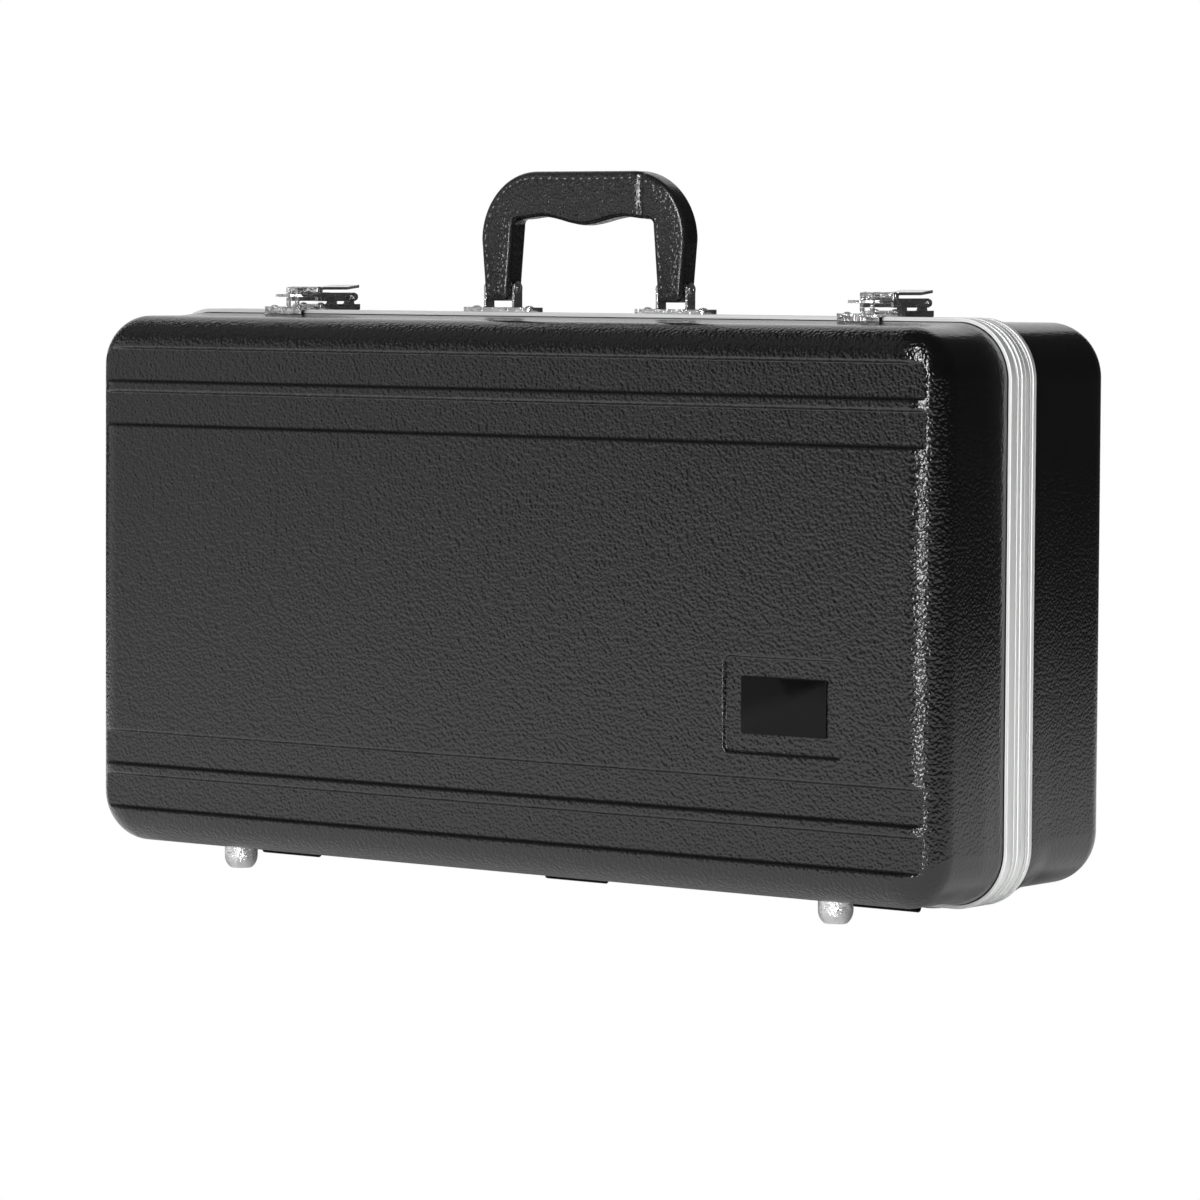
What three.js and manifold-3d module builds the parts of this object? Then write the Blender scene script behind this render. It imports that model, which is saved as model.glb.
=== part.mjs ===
// A hard trumpet case standing on its hinge side: two black moulded shells, a ridged
// aluminium valance, two hasp latches, a padded handle, three butt hinges and four feet.
// Millimetres. +X runs along the case, +Y from the lid to the base, +Z up.
// The origin lies on the floor, under the middle of the case.
import * as THREE from 'three';
import { mergeVertices } from 'three/addons/utils/BufferGeometryUtils.js';
import Module from 'manifold-3d';

const wasm = await Module();
wasm.setup();

// The case as a whole
const caseLength = 540; // across the ends of the valance
const shellHeight = 282; // of the moulded shells, without valance and feet
const lidDepth = 73.5; // from the split to the lid's face
const baseDepth = 83.5; // from the split to the base's face
const footHeight = 10;
const overrun = 1; // how far a cutting tool runs past what it cuts
const fitGap = 0.3; // clearance between pieces that seat in each other
const splitGap = 0.3; // between the two halves of the valance

// Moulded shells
const shellWall = 3;
const shellCorner = 28; // corner radius seen from the front
const faceRounding = 18; // between the walls and the face
const bandSunk = 1.6; // how deep the bands lie in the face
const bandTall = 17.2;
const bandPairGap = 5.8; // between the two bands of a pair
const topBandDrop = 18.6; // from the shell's top to the upper band
const bottomBandRise = 20.6; // from the shell's bottom to the lowest band

// Badge place on the lid: a sunk field with a bare glossy plate
const badgePadLength = 69.5;
const badgePadTall = 46.5;
const badgePadSunk = 1; // how deep the badge's place lies in the face
const badgePadCorner = 3;
const badgePadX = 180;
const badgePadRise = 96.5; // of its middle, above the shell's bottom
const badgeLength = 50.5;
const badgeTall = 28;
const badgeThick = 1.5;
const badgeSink = 0.9; // how deep the plate sits in its place
const badgeCorner = 0.8;

// Valance, the extruded aluminium frame at the split
const valanceProud = 2.2; // how far it stands out of the shells
const flangeThick = 1.9; // outer flange over the shell's edge
const innerFlangeThick = 1.2;
const innerFlangeReach = 9;
const webThick = 3; // between the split and the shell's edge
const valanceGroove = 1.1; // depth of the grooves in its outer face
const ribDrop = 0.4; // how far the middle rib stays below the lips
const lidRim = 2.6;
const lidGroove = 1;
const lidRib = 2;
const lidChannel = 3;
const lidLip = 3.6;
const baseRim = 2.9;
const baseChannel = 2;
const baseRib = 1.2;
const baseGroove = 0.8;
const baseLip = 2.6;
const tongueThick = 1.2;
const tongueReach = 1.6; // past the split, into the lid's groove
const tongueGap = 0.4;
const tongueDepth = 3.4; // of its outer face, below the valance's outer face
const tongueRise = 45; // above the valance's bottom; the hinge side has none

// Butt hinges under the valance
const hingeLength = 38.5;
const hingeSpacing = 192; // from the middle hinge to the outer ones
const knuckleRadius = 2.3;
const knuckleBore = 1.25;
const hingePinRadius = 0.95;
const knuckleDrop = 2.8; // from the valance's bottom to the pin's axis
const knuckleCount = 6;
const knuckleGap = 0.3;
const leafThick = 1.2;
const leafReach = 9; // from the pin's axis to the leaf's edge
const leafStart = 3; // from the pin's axis to the leaf's inner edge
const hingeRivetRadius = 1.7;
const hingeRivetTall = 0.8;
const hingeRivetSpacing = 24;
const hingePinOverhang = 0.6;

// Feet
const footRadius = 8.7;
const footFlatRadius = 5.6;
const footCurveTall = 5.6;
const footSpacing = 191; // from the middle of the case
const footOut = 42.5; // from the split

// Latches, measured from the split and from the valance's top
const latchSpacing = 184; // from the middle of the case
const latchRivetRadius = 1.9;
const latchRivetTall = 0.9;
const latchRivetShank = 1;
const rivetHoleGap = 0.25;
const rivetShoulderShare = 0.7; // of a rivet head's height, where its dome is two thirds as wide
const catchHalf = 12;
const catchFront = 18.5;
const catchBack = 1.5;
const catchThick = 1.6;
const catchToe = 1.6; // turned-down front edge, resting on the shell
const catchRivetX = 8.6;
const catchRivetY = 14.4;
const hookHalf = 4;
const hookLeg = 2; // width of each of the hook's two legs
const hookFront = 10.4;
const hookThick = 1.4;
const hookLipBack = 5;
const hookLipRise = 10; // underside of the lip
const hookLipThick = 1;
const hookRollRadius = 0.9;
const haspHalf = 9.5;
const haspTip = 16.8;
const haspTipHalf = 4.2;
const haspShoulder = 12.6;
const haspRise = 6.6; // underside of the hasp's plate
const haspThick = 1.5;
const haspPlateBack = 22;
const haspWindowHalf = 5.5;
const haspWindowFront = 12.2;
const haspWindowBack = 3.2;
const haspFlangeThick = 1.5;
const haspFlangeFront = 1;
const haspPinBack = 30;
const haspPinRise = 6.7;
const haspPinRadius = 1.1;
const haspPinHead = 1.8;
const haspEndRadius = 2.3;
const leverPinBack = 1;
const leverPinRise = 10.2;
const leverPinRadius = 0.9;
const leverPinHead = 1.5;
const leverEarRadius = 2;
const leverEyeRadius = 1.7;
const leverEyeHalf = 7.4;
const leverHalf = 9.3;
const leverFront = 3.7;
const leverRise = 10.5; // underside of the lever's plate
const leverThick = 1.5;
const leverBend = 24; // where the thumb tab starts to rise
const leverEnd = 34;
const leverTabLift = 1.1;
const noseHalf = 3.6;
const noseTip = 7.5;
const noseRise = 8.6;
const noseThick = 1.1;
const pinHeadThick = 0.7;
const pinHoleGap = 0.3;
const springRadius = 1.6;
const springBore = 1.2;
const springHalf = 1.9;
const springNotchHalf = 2.3;
const springGrooveDepth = 0.2;
const springTurns = 4;
const latchBaseHalf = 10;
const latchBaseFront = 1.5;
const latchBaseBack = 34;
const latchBaseThick = 2.9;
const latchPackerBack = 33.4;
const latchEarInner = 5.2;
const latchEarThick = 1.6;
const latchEarFront = 24.5;
const latchEarBack = 33.4;
const latchEarRadius = 2.2;
const latchRivetX = 6;
const latchRivetY = 6;

// Handle, measured from the split and from the valance's top
const handleBack = 6.9; // of the handle's middle plane
const handleThick = 14;
const handleRounding = 3.8;
const handleHalf = 65.2;
const handleTop = 72.2;
const handleCorner = 30;
const handleLegCentre = 55.4;
const handleLegFootHalf = 7.7;
const handleLegInnerX = 44.8;
const handleLegBottom = 5.7;
const handleLegCorner = 4.2;
const handleOpeningCorner = 3.2;
const handleGripEnd = 47.7; // underside of the grip at its ends
const handleGripPeak = 49;
const handleGripPeakX = 25.5;
const handleGripBump = 44.6;
const handlePinRise = 12.3;
const handlePinRadius = 1.7;
const handleBore = 2;
const eyeletRadius = 2.5;
const eyeletThick = 0.7;
const eyeletHole = 1;
const eyeletDeep = 1.6;
const bracketHalf = 22.3;
const bracketDeep = 13;
const bracketThick = 2.4;
const bracketCorner = 2.5;
const earThick = 1.4;
const earHalf = 3.6;
const earGap = 0.8;
const bracketRivetX = 17.4;
const bracketRivetRadius = 2.3;
const bracketRivetTall = 1;
const bracketRivetShank = 1.1;

// Lining: a plush foam nest in the base and a pad in the lid
const liningGap = 0.5;
const nestFront = 10; // from the split
const nestFloor = 6;
const nestPocketFloor = 12;
const nestCorner = 9;
const padThick = 17;
const padInset = 4; // from the lid's inner walls
const padCrown = 7.5; // rounding of the pad's edge, across its thickness
const padEdge = 14.5; // and along its face
const bellFrom = -250;
const bellTo = -186;
const bellLow = -37;
const bellHigh = 97;
const flareTo = -118;
const bodyFrom = -150;
const bodyTo = 150;
const bodyLow = -75;
const bodyHigh = 48;
const valvesFrom = -20;
const valvesTo = 65;
const valvesLow = -110;
const valvesHigh = 105;
const leadpipeTo = 238;
const leadpipeLow = 12;
const oilPocketFrom = 86;
const oilPocketTo = 246;
const oilPocketLow = 70;
const oilPocketHigh = 122;
const clothPocketFrom = 172;
const clothPocketTo = 246;
const clothPocketLow = -118;
const clothPocketHigh = -10;
const mouthpieceRadius = 15;
const mouthpieceX = -184;
const mouthpieceStep = 42;
const mouthpieceZ = -88;

// Counts of steps along curves; an arc drawn in an outline gets twice its count
const cornerSteps = 3;
const roundingSteps = 4;
const innerSteps = 3;
const smallSteps = 1;
const holeSteps = 10;
const archSteps = 2;
const archEdgeSteps = 2;
const knuckleSides = 10;
const pinSides = 12;
const rivetSides = 8;
const springSides = 8;
const footSides = 18;
const footSteps = 3;

// Places that follow from the sizes
const splitY = (lidDepth - baseDepth) / 2;
const shellMiddle = footHeight + shellHeight / 2;
const valanceTall = shellHeight + 2 * valanceProud;
const valanceTop = shellMiddle + valanceTall / 2;
const valanceBottom = shellMiddle - valanceTall / 2;
const valanceCorner = shellCorner + valanceProud;
const hingeAxisZ = valanceBottom - knuckleDrop;
const baseValanceReach = splitGap / 2 + baseRim + baseChannel + baseRib + baseGroove + baseLip;

// Finishes

function finish(colour, roughness, metalness) {
  return new THREE.MeshStandardMaterial({ color: colour, roughness, metalness });
}

const blackShell = () => finish(0x2c2c2e, 0.62, 0);
const aluminium = () => finish(0xc9cccc, 0.32, 1);
const chrome = () => finish(0xd8d8d8, 0.12, 1);
const blackMetal = () => finish(0x16161a, 0.4, 1);
const leather = () => finish(0x1e1e20, 0.6, 0);
const gloss = () => finish(0x08080a, 0.08, 0);
const plush = () => finish(0x2a2b33, 0.95, 0);
const springSteel = () => finish(0x8c8f93, 0.3, 1);

// Solids

function solid(geometry) {
  const plain = geometry.clone();
  plain.deleteAttribute('normal');
  plain.deleteAttribute('uv');
  const merged = mergeVertices(plain);
  const vertProperties = new Float32Array(merged.attributes.position.array);
  const triVerts = new Uint32Array(merged.index.array);
  return new wasm.Manifold(new wasm.Mesh({ numProp: 3, vertProperties, triVerts }));
}

function named(name, body, material) {
  const { vertProperties, triVerts } = body.getMesh();
  const geometry = new THREE.BufferGeometry();
  geometry.setAttribute('position', new THREE.BufferAttribute(new Float32Array(vertProperties), 3));
  geometry.setIndex(new THREE.BufferAttribute(new Uint32Array(triVerts), 1));
  geometry.computeVertexNormals();
  const mesh = new THREE.Mesh(geometry, material);
  mesh.name = name;
  return mesh;
}

function joined(parts) {
  return parts.reduce((whole, part) => whole.add(part));
}

function block(xFrom, xTo, yFrom, yTo, zFrom, zTo) {
  const geometry = new THREE.BoxGeometry(xTo - xFrom, yTo - yFrom, zTo - zFrom);
  geometry.translate((xFrom + xTo) / 2, (yFrom + yTo) / 2, (zFrom + zTo) / 2);
  return solid(geometry);
}

// A round rod along X with its axis at y, z.
function rodAlongX(radius, xFrom, xTo, y, z, sides = pinSides) {
  const geometry = new THREE.CylinderGeometry(radius, radius, xTo - xFrom, sides);
  geometry.rotateZ(Math.PI / 2);
  geometry.translate((xFrom + xTo) / 2, y, z);
  return solid(geometry);
}

function rodAlongZ(radius, x, y, zFrom, zTo, sides = pinSides) {
  const geometry = new THREE.CylinderGeometry(radius, radius, zTo - zFrom, sides);
  geometry.rotateX(Math.PI / 2);
  geometry.translate(x, y, (zFrom + zTo) / 2);
  return solid(geometry);
}

// Extrudes an outline drawn in X and Z along Y; rounding is { across, along, steps }.
function extrudeAlongY(outline, yFrom, yTo, steps = cornerSteps, rounding = null) {
  const along = rounding ? rounding.along : 0;
  const geometry = new THREE.ExtrudeGeometry(outline, {
    depth: yTo - yFrom - 2 * along,
    curveSegments: steps,
    bevelEnabled: rounding !== null,
    bevelThickness: along,
    bevelSize: rounding ? rounding.across : 0,
    bevelOffset: rounding ? -rounding.across : 0,
    bevelSegments: rounding ? rounding.steps : 0,
  });
  const turn = new THREE.Matrix4().makeBasis(
    new THREE.Vector3(1, 0, 0),
    new THREE.Vector3(0, 0, 1),
    new THREE.Vector3(0, -1, 0),
  );
  geometry.applyMatrix4(turn);
  geometry.translate(0, yTo - along, 0);
  return solid(geometry);
}

// Extrudes an outline drawn in Y and Z along X.
function extrudeAlongX(outline, xFrom, xTo, steps = cornerSteps) {
  const geometry = new THREE.ExtrudeGeometry(outline, {
    depth: xTo - xFrom,
    curveSegments: steps,
    bevelEnabled: false,
  });
  const turn = new THREE.Matrix4().makeBasis(
    new THREE.Vector3(0, 1, 0),
    new THREE.Vector3(0, 0, 1),
    new THREE.Vector3(1, 0, 0),
  );
  geometry.applyMatrix4(turn);
  geometry.translate(xFrom, 0, 0);
  return solid(geometry);
}

// Extrudes an outline drawn in X and Y along Z.
function extrudeAlongZ(outline, zFrom, zTo, steps = smallSteps) {
  const geometry = new THREE.ExtrudeGeometry(outline, {
    depth: zTo - zFrom,
    curveSegments: steps,
    bevelEnabled: false,
  });
  geometry.translate(0, 0, zFrom);
  return solid(geometry);
}

// Outlines

function roundedRectangle(width, height, radius, middleX = 0, middleY = 0) {
  const right = middleX + width / 2;
  const left = middleX - width / 2;
  const top = middleY + height / 2;
  const bottom = middleY - height / 2;
  const outline = new THREE.Shape();
  outline.moveTo(left + radius, bottom);
  outline.lineTo(right - radius, bottom);
  outline.absarc(right - radius, bottom + radius, radius, -Math.PI / 2, 0, false);
  outline.lineTo(right, top - radius);
  outline.absarc(right - radius, top - radius, radius, 0, Math.PI / 2, false);
  outline.lineTo(left + radius, top);
  outline.absarc(left + radius, top - radius, radius, Math.PI / 2, Math.PI, false);
  outline.lineTo(left, bottom + radius);
  outline.absarc(left + radius, bottom + radius, radius, Math.PI, Math.PI * 1.5, false);
  return outline;
}

function roundedSpan(from, to, low, high, radius) {
  return roundedRectangle(to - from, high - low, radius, (from + to) / 2, (low + high) / 2);
}

// The outline of the case seen from the front, a given depth under the valance's outer face.
function caseOutline(depth) {
  const length = caseLength - 2 * depth;
  return roundedRectangle(length, valanceTall - 2 * depth, valanceCorner - depth, 0, shellMiddle);
}

// A frame along the case outline between two depths, from yFrom to yTo.
function frame(outerDepth, innerDepth, yFrom, yTo) {
  const outline = caseOutline(outerDepth);
  outline.holes.push(caseOutline(innerDepth));
  return extrudeAlongY(outline, yFrom, yTo);
}

// Shells
// Both are drawn opening towards -Y with the split at y = 0; the lid is then turned round.

// A tray with rounded face edges, depth under the valance's face, out to faceY.
function tray(depth, rounding, faceY) {
  const curve = { across: rounding, along: rounding, steps: roundingSteps };
  const whole = extrudeAlongY(caseOutline(depth), -faceY, faceY, cornerSteps, curve);
  const rim = webThick + splitGap / 2 + fitGap;
  const reach = caseLength / 2 + overrun;
  const top = valanceTop + overrun;
  return whole.subtract(block(-reach, reach, -faceY - overrun, rim, -overrun, top));
}

function bandRises() {
  const step = bandTall + bandPairGap;
  const highest = shellHeight - topBandDrop - bandTall;
  return [bottomBandRise, bottomBandRise + step, highest - step, highest];
}

function bands(faceY) {
  const half = caseLength / 2;
  const strips = bandRises().map((rise) => {
    const low = footHeight + rise;
    const outline = roundedSpan(-half, half, low, low + bandTall, badgePadCorner);
    return extrudeAlongY(outline, faceY - bandSunk, faceY + overrun, smallSteps);
  });
  return joined(strips);
}

function shellBody(faceY) {
  const hollowDepth = valanceProud + shellWall;
  const body = tray(valanceProud, faceRounding, faceY);
  const outside = body.subtract(bands(faceY));
  const hollow = extrudeAlongY(
    caseOutline(hollowDepth),
    -faceY,
    faceY - shellWall,
    cornerSteps,
    { across: faceRounding - shellWall, along: faceRounding - shellWall, steps: innerSteps },
  );
  return outside.subtract(hollow);
}

function badgePad() {
  const middleZ = footHeight + badgePadRise;
  const outline = roundedRectangle(
    badgePadLength,
    badgePadTall,
    badgePadCorner,
    -badgePadX,
    middleZ,
  );
  return extrudeAlongY(outline, lidDepth - badgePadSunk, lidDepth + overrun, smallSteps);
}

function badgeOutline(gap) {
  const middleZ = footHeight + badgePadRise;
  const length = badgeLength + 2 * gap;
  return roundedRectangle(length, badgeTall + 2 * gap, badgeCorner + gap, -badgePadX, middleZ);
}

function lidShell() {
  const padFace = lidDepth - badgePadSunk;
  const seat = extrudeAlongY(
    badgeOutline(fitGap),
    padFace - badgeSink,
    padFace + overrun,
    smallSteps,
  );
  const shell = shellBody(lidDepth).subtract(badgePad());
  return named('lid_shell', shell.subtract(seat), blackShell());
}

function baseShell() {
  return named('base_shell', shellBody(baseDepth), blackShell());
}

function badgePlate() {
  const seatY = lidDepth - badgePadSunk - badgeSink;
  const plate = extrudeAlongY(badgeOutline(0), seatY, seatY + badgeThick, smallSteps);
  return named('badge_plate', plate, gloss());
}

// Valance
// Each half has an outer flange, a web at the split and a short inner flange.
// grooves lists what is cut out of the outer flange, from the split outwards.

function valanceHalf(grooves, reach) {
  const start = splitGap / 2;
  const innerFrom = valanceProud + shellWall + fitGap;
  const innerTo = innerFrom + innerFlangeThick;
  const flange = frame(0, flangeThick, start, reach);
  const web = frame(valanceGroove, innerTo, start, start + webThick);
  const inner = frame(innerFrom, innerTo, start, innerFlangeReach);
  const cuts = grooves.map((groove) => frame(-overrun, groove.depth, groove.from, groove.to));
  return joined([flange, web, inner]).subtract(joined(cuts));
}

// The grooves either side of a rib, with the rib itself a little lower than the rim and the lip.
function grooves(rim, groove, rib, channel) {
  const rimTo = splitGap / 2 + rim;
  const ribFrom = rimTo + groove;
  const ribTo = ribFrom + rib;
  return [
    { from: rimTo, to: ribTo + channel, depth: ribDrop },
    { from: rimTo, to: ribFrom, depth: valanceGroove },
    { from: ribTo, to: ribTo + channel, depth: valanceGroove },
  ];
}

function tongueFrame(gap, yFrom, yTo) {
  const whole = frame(tongueDepth - gap, tongueDepth + tongueThick + gap, yFrom, yTo);
  const reach = caseLength / 2 + overrun;
  const low = valanceBottom + tongueRise - gap;
  return whole.subtract(block(-reach, reach, yFrom - overrun, yTo + overrun, -overrun, low));
}

function lidValance() {
  const lipTo = splitGap / 2 + lidRim + lidGroove + lidRib + lidChannel + lidLip;
  const half = valanceHalf(grooves(lidRim, lidGroove, lidRib, lidChannel), lipTo);
  const groove = tongueFrame(tongueGap, -overrun, splitGap / 2 + tongueReach + tongueGap);
  return named('lid_valance', half.subtract(groove), aluminium());
}

function baseValance() {
  const half = valanceHalf(grooves(baseRim, baseChannel, baseRib, baseGroove), baseValanceReach);
  const tongue = tongueFrame(0, -tongueReach, webThick);
  return named('base_valance', half.add(tongue), aluminium());
}

// Hinges, drawn around their own pin axis

// The knuckles and leaf of one side; side is 1 for the base and -1 for the lid.
function hingeLeaf(name, side, firstKnuckle) {
  const pitch = hingeLength / knuckleCount;
  const seatZ = knuckleDrop;
  const across = (from, to) => (side > 0 ? [from, to] : [-to, -from]);
  const [yFrom, yTo] = across(leafStart, leafReach);
  const parts = [block(-hingeLength / 2, hingeLength / 2, yFrom, yTo, seatZ - leafThick, seatZ)];
  for (let k = firstKnuckle; k < knuckleCount; k += 2) {
    const xFrom = -hingeLength / 2 + k * pitch + knuckleGap / 2;
    const xTo = xFrom + pitch - knuckleGap;
    const [armFrom, armTo] = across(knuckleBore, leafStart + overrun);
    parts.push(rodAlongX(knuckleRadius, xFrom, xTo, 0, 0, knuckleSides));
    parts.push(block(xFrom, xTo, armFrom, armTo, seatZ - leafThick - knuckleBore / 2, seatZ));
  }
  for (const end of [-1, 1]) {
    const x = (end * hingeRivetSpacing) / 2;
    const y = (side * (leafStart + leafReach)) / 2;
    const low = seatZ - leafThick - hingeRivetTall;
    parts.push(rodAlongZ(hingeRivetRadius, x, y, low, seatZ - leafThick / 2, rivetSides));
  }
  const bore = rodAlongX(knuckleBore, -hingeLength, hingeLength, 0, 0, knuckleSides);
  return named(name, joined(parts).subtract(bore), blackMetal());
}

function hingePin(name) {
  const half = hingeLength / 2 + hingePinOverhang;
  return named(name, rodAlongX(hingePinRadius, -half, half, 0, 0, knuckleSides), blackMetal());
}

// Feet

function foot(name) {
  const curve = footRadius - footFlatRadius;
  const profile = [new THREE.Vector2(0, 0), new THREE.Vector2(footFlatRadius, 0)];
  for (let k = 1; k <= footSteps; k += 1) {
    const angle = (k / footSteps) * (Math.PI / 2);
    const out = footFlatRadius + curve * Math.sin(angle);
    profile.push(new THREE.Vector2(out, footCurveTall * (1 - Math.cos(angle))));
  }
  profile.push(new THREE.Vector2(footRadius, footHeight));
  profile.push(new THREE.Vector2(0, footHeight));
  const geometry = new THREE.LatheGeometry(profile, footSides);
  geometry.rotateX(Math.PI / 2);
  return named(name, solid(geometry), chrome());
}

// Rivets with a low domed head on the plane z = 0 and a shank below it

function rivet(name, radius, tall, shank, deep) {
  const shoulder = radius * Math.cos(Math.PI / 4);
  const profile = [
    new THREE.Vector2(0, -deep),
    new THREE.Vector2(shank, -deep),
    new THREE.Vector2(shank, 0),
    new THREE.Vector2(radius, 0),
    new THREE.Vector2(shoulder, tall * rivetShoulderShare),
    new THREE.Vector2(0, tall),
  ];
  const geometry = new THREE.LatheGeometry(profile, rivetSides);
  geometry.rotateX(Math.PI / 2);
  return named(name, solid(geometry), chrome());
}

// Latches
// Drawn with the split at y = 0 and the valance's top at z = 0; the lid lies towards -Y.

function latchCatch(name) {
  const plate = block(-catchHalf, catchHalf, -catchFront, -catchBack, 0, catchThick);
  const toeBack = catchToe - catchFront;
  const toe = block(-catchHalf, catchHalf, -catchFront, toeBack, -valanceProud, catchThick / 2);
  const lipTop = hookLipRise + hookLipThick;
  const legBack = hookThick - hookFront;
  const legs = [-1, 1].map((side) => {
    const inner = side * (hookHalf - hookLeg);
    const outer = side * hookHalf;
    const from = Math.min(inner, outer);
    const low = catchThick / 2;
    return block(from, from + hookLeg, -hookFront, legBack, low, hookLipRise + hookLipThick / 2);
  });
  const lip = block(-hookHalf, hookHalf, -hookFront, -hookLipBack, hookLipRise, lipTop);
  const rollY = hookRollRadius - hookFront;
  const roll = rodAlongX(hookRollRadius, -hookHalf, hookHalf, rollY, lipTop);
  let body = joined([plate, toe, ...legs, lip, roll]);
  for (const side of [-1, 1]) {
    const hole = latchRivetShank + rivetHoleGap;
    const x = side * catchRivetX;
    body = body.subtract(rodAlongZ(hole, x, -catchRivetY, -overrun, catchThick + overrun));
  }
  return named(name, body, chrome());
}

function haspOutline() {
  const outline = new THREE.Shape();
  outline.moveTo(-haspHalf, haspPlateBack);
  outline.lineTo(-haspHalf, -haspShoulder);
  outline.lineTo(-haspTipHalf, -haspTip);
  outline.lineTo(haspTipHalf, -haspTip);
  outline.lineTo(haspHalf, -haspShoulder);
  outline.lineTo(haspHalf, haspPlateBack);
  const window = new THREE.Path();
  window.moveTo(-haspWindowHalf, -haspWindowFront);
  window.lineTo(haspWindowHalf, -haspWindowFront);
  window.lineTo(haspWindowHalf, haspWindowBack);
  window.lineTo(-haspWindowHalf, haspWindowBack);
  outline.holes.push(window);
  return outline;
}

// The side flange of the hasp: an eye for its own pin at the back, an ear for the lever's in front.
function flangeOutline() {
  const low = haspPinRise - haspEndRadius;
  const high = haspPinRise + haspEndRadius;
  const outline = new THREE.Shape();
  outline.moveTo(-haspFlangeFront, low);
  outline.lineTo(haspPinBack, low);
  outline.absarc(haspPinBack, haspPinRise, haspEndRadius, -Math.PI / 2, Math.PI / 2, false);
  outline.lineTo(leverPinBack + leverEarRadius, high);
  outline.absarc(leverPinBack, leverPinRise, leverEarRadius, 0, Math.PI, false);
  return outline;
}

function pairOnX(inner, outer, make) {
  return [make(-outer, -inner), make(inner, outer)];
}

function latchHasp(name) {
  const plate = extrudeAlongZ(haspOutline(), haspRise, haspRise + haspThick);
  const inner = haspHalf - haspFlangeThick;
  const flanges = pairOnX(inner, haspHalf, (from, to) => extrudeAlongX(flangeOutline(), from, to));
  const reach = haspHalf + overrun;
  const haspBore = haspPinRadius + pinHoleGap;
  const leverBore = leverPinRadius + pinHoleGap;
  const body = joined([plate, ...flanges])
    .subtract(rodAlongX(haspBore, -reach, reach, haspPinBack, haspPinRise))
    .subtract(rodAlongX(leverBore, -reach, reach, leverPinBack, leverPinRise));
  return named(name, body, chrome());
}

// A pin along X with a round head at each end, just outside the hasp's flanges.
function headedPin(name, radius, headRadius, y, z) {
  const headFrom = haspHalf + fitGap;
  const headTo = headFrom + pinHeadThick;
  const rod = rodAlongX(radius, -headTo, headTo, y, z);
  const heads = pairOnX(headFrom, headTo, (from, to) => rodAlongX(headRadius, from, to, y, z));
  return named(name, joined([rod, ...heads]), chrome());
}

function leverOutline() {
  const top = leverRise + leverThick;
  const outline = new THREE.Shape();
  outline.moveTo(leverFront, leverRise);
  outline.lineTo(leverBend, leverRise);
  outline.lineTo(leverEnd, leverRise + leverTabLift);
  outline.lineTo(leverEnd, top + leverTabLift);
  outline.lineTo(leverBend, top);
  outline.lineTo(leverFront, top);
  return outline;
}

function latchLever(name) {
  const plate = extrudeAlongX(leverOutline(), -leverHalf, leverHalf);
  const neckLow = leverPinRise - leverEyeRadius / 2;
  const neckBack = leverFront + leverThick / 2;
  const neckTop = leverRise + leverThick;
  const neck = block(-leverEyeHalf, leverEyeHalf, leverPinBack, neckBack, neckLow, neckTop);
  const eye = rodAlongX(leverEyeRadius, -leverEyeHalf, leverEyeHalf, leverPinBack, leverPinRise);
  const nose = block(-noseHalf, noseHalf, -noseTip, leverPinBack, noseRise, noseRise + noseThick);
  const bore = leverPinRadius + pinHoleGap;
  const notchLow = leverPinRise - springRadius - fitGap;
  const notchFront = leverPinBack - springRadius - fitGap;
  const notchBack = leverPinBack + springRadius + fitGap;
  const notch = block(
    -springNotchHalf,
    springNotchHalf,
    notchFront,
    notchBack,
    notchLow,
    leverPinRise + springRadius + fitGap,
  );
  const body = joined([plate, neck, eye, nose])
    .subtract(rodAlongX(bore, -haspHalf, haspHalf, leverPinBack, leverPinRise))
    .subtract(notch);
  return named(name, body, chrome());
}

// A closely wound torsion spring round the lever's pin, as a grooved sleeve.
function latchSpring(name) {
  const pitch = (2 * springHalf) / springTurns;
  const profile = [new THREE.Vector2(springBore, -springHalf)];
  for (let k = 0; k < springTurns; k += 1) {
    const start = -springHalf + k * pitch;
    profile.push(new THREE.Vector2(springRadius - springGrooveDepth, start));
    profile.push(new THREE.Vector2(springRadius, start + pitch / 2));
  }
  profile.push(new THREE.Vector2(springRadius - springGrooveDepth, springHalf));
  profile.push(new THREE.Vector2(springBore, springHalf));
  profile.push(new THREE.Vector2(springBore, -springHalf));
  const geometry = new THREE.LatheGeometry(profile, springSides);
  geometry.rotateZ(Math.PI / 2);
  geometry.translate(0, leverPinBack, leverPinRise);
  return named(name, solid(geometry), springSteel());
}

function latchEarOutline() {
  const outline = new THREE.Shape();
  outline.moveTo(latchEarFront, latchBaseThick / 2);
  outline.lineTo(latchEarBack, latchBaseThick / 2);
  outline.lineTo(haspPinBack + latchEarRadius, haspPinRise);
  outline.absarc(haspPinBack, haspPinRise, latchEarRadius, 0, Math.PI, false);
  return outline;
}

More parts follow.
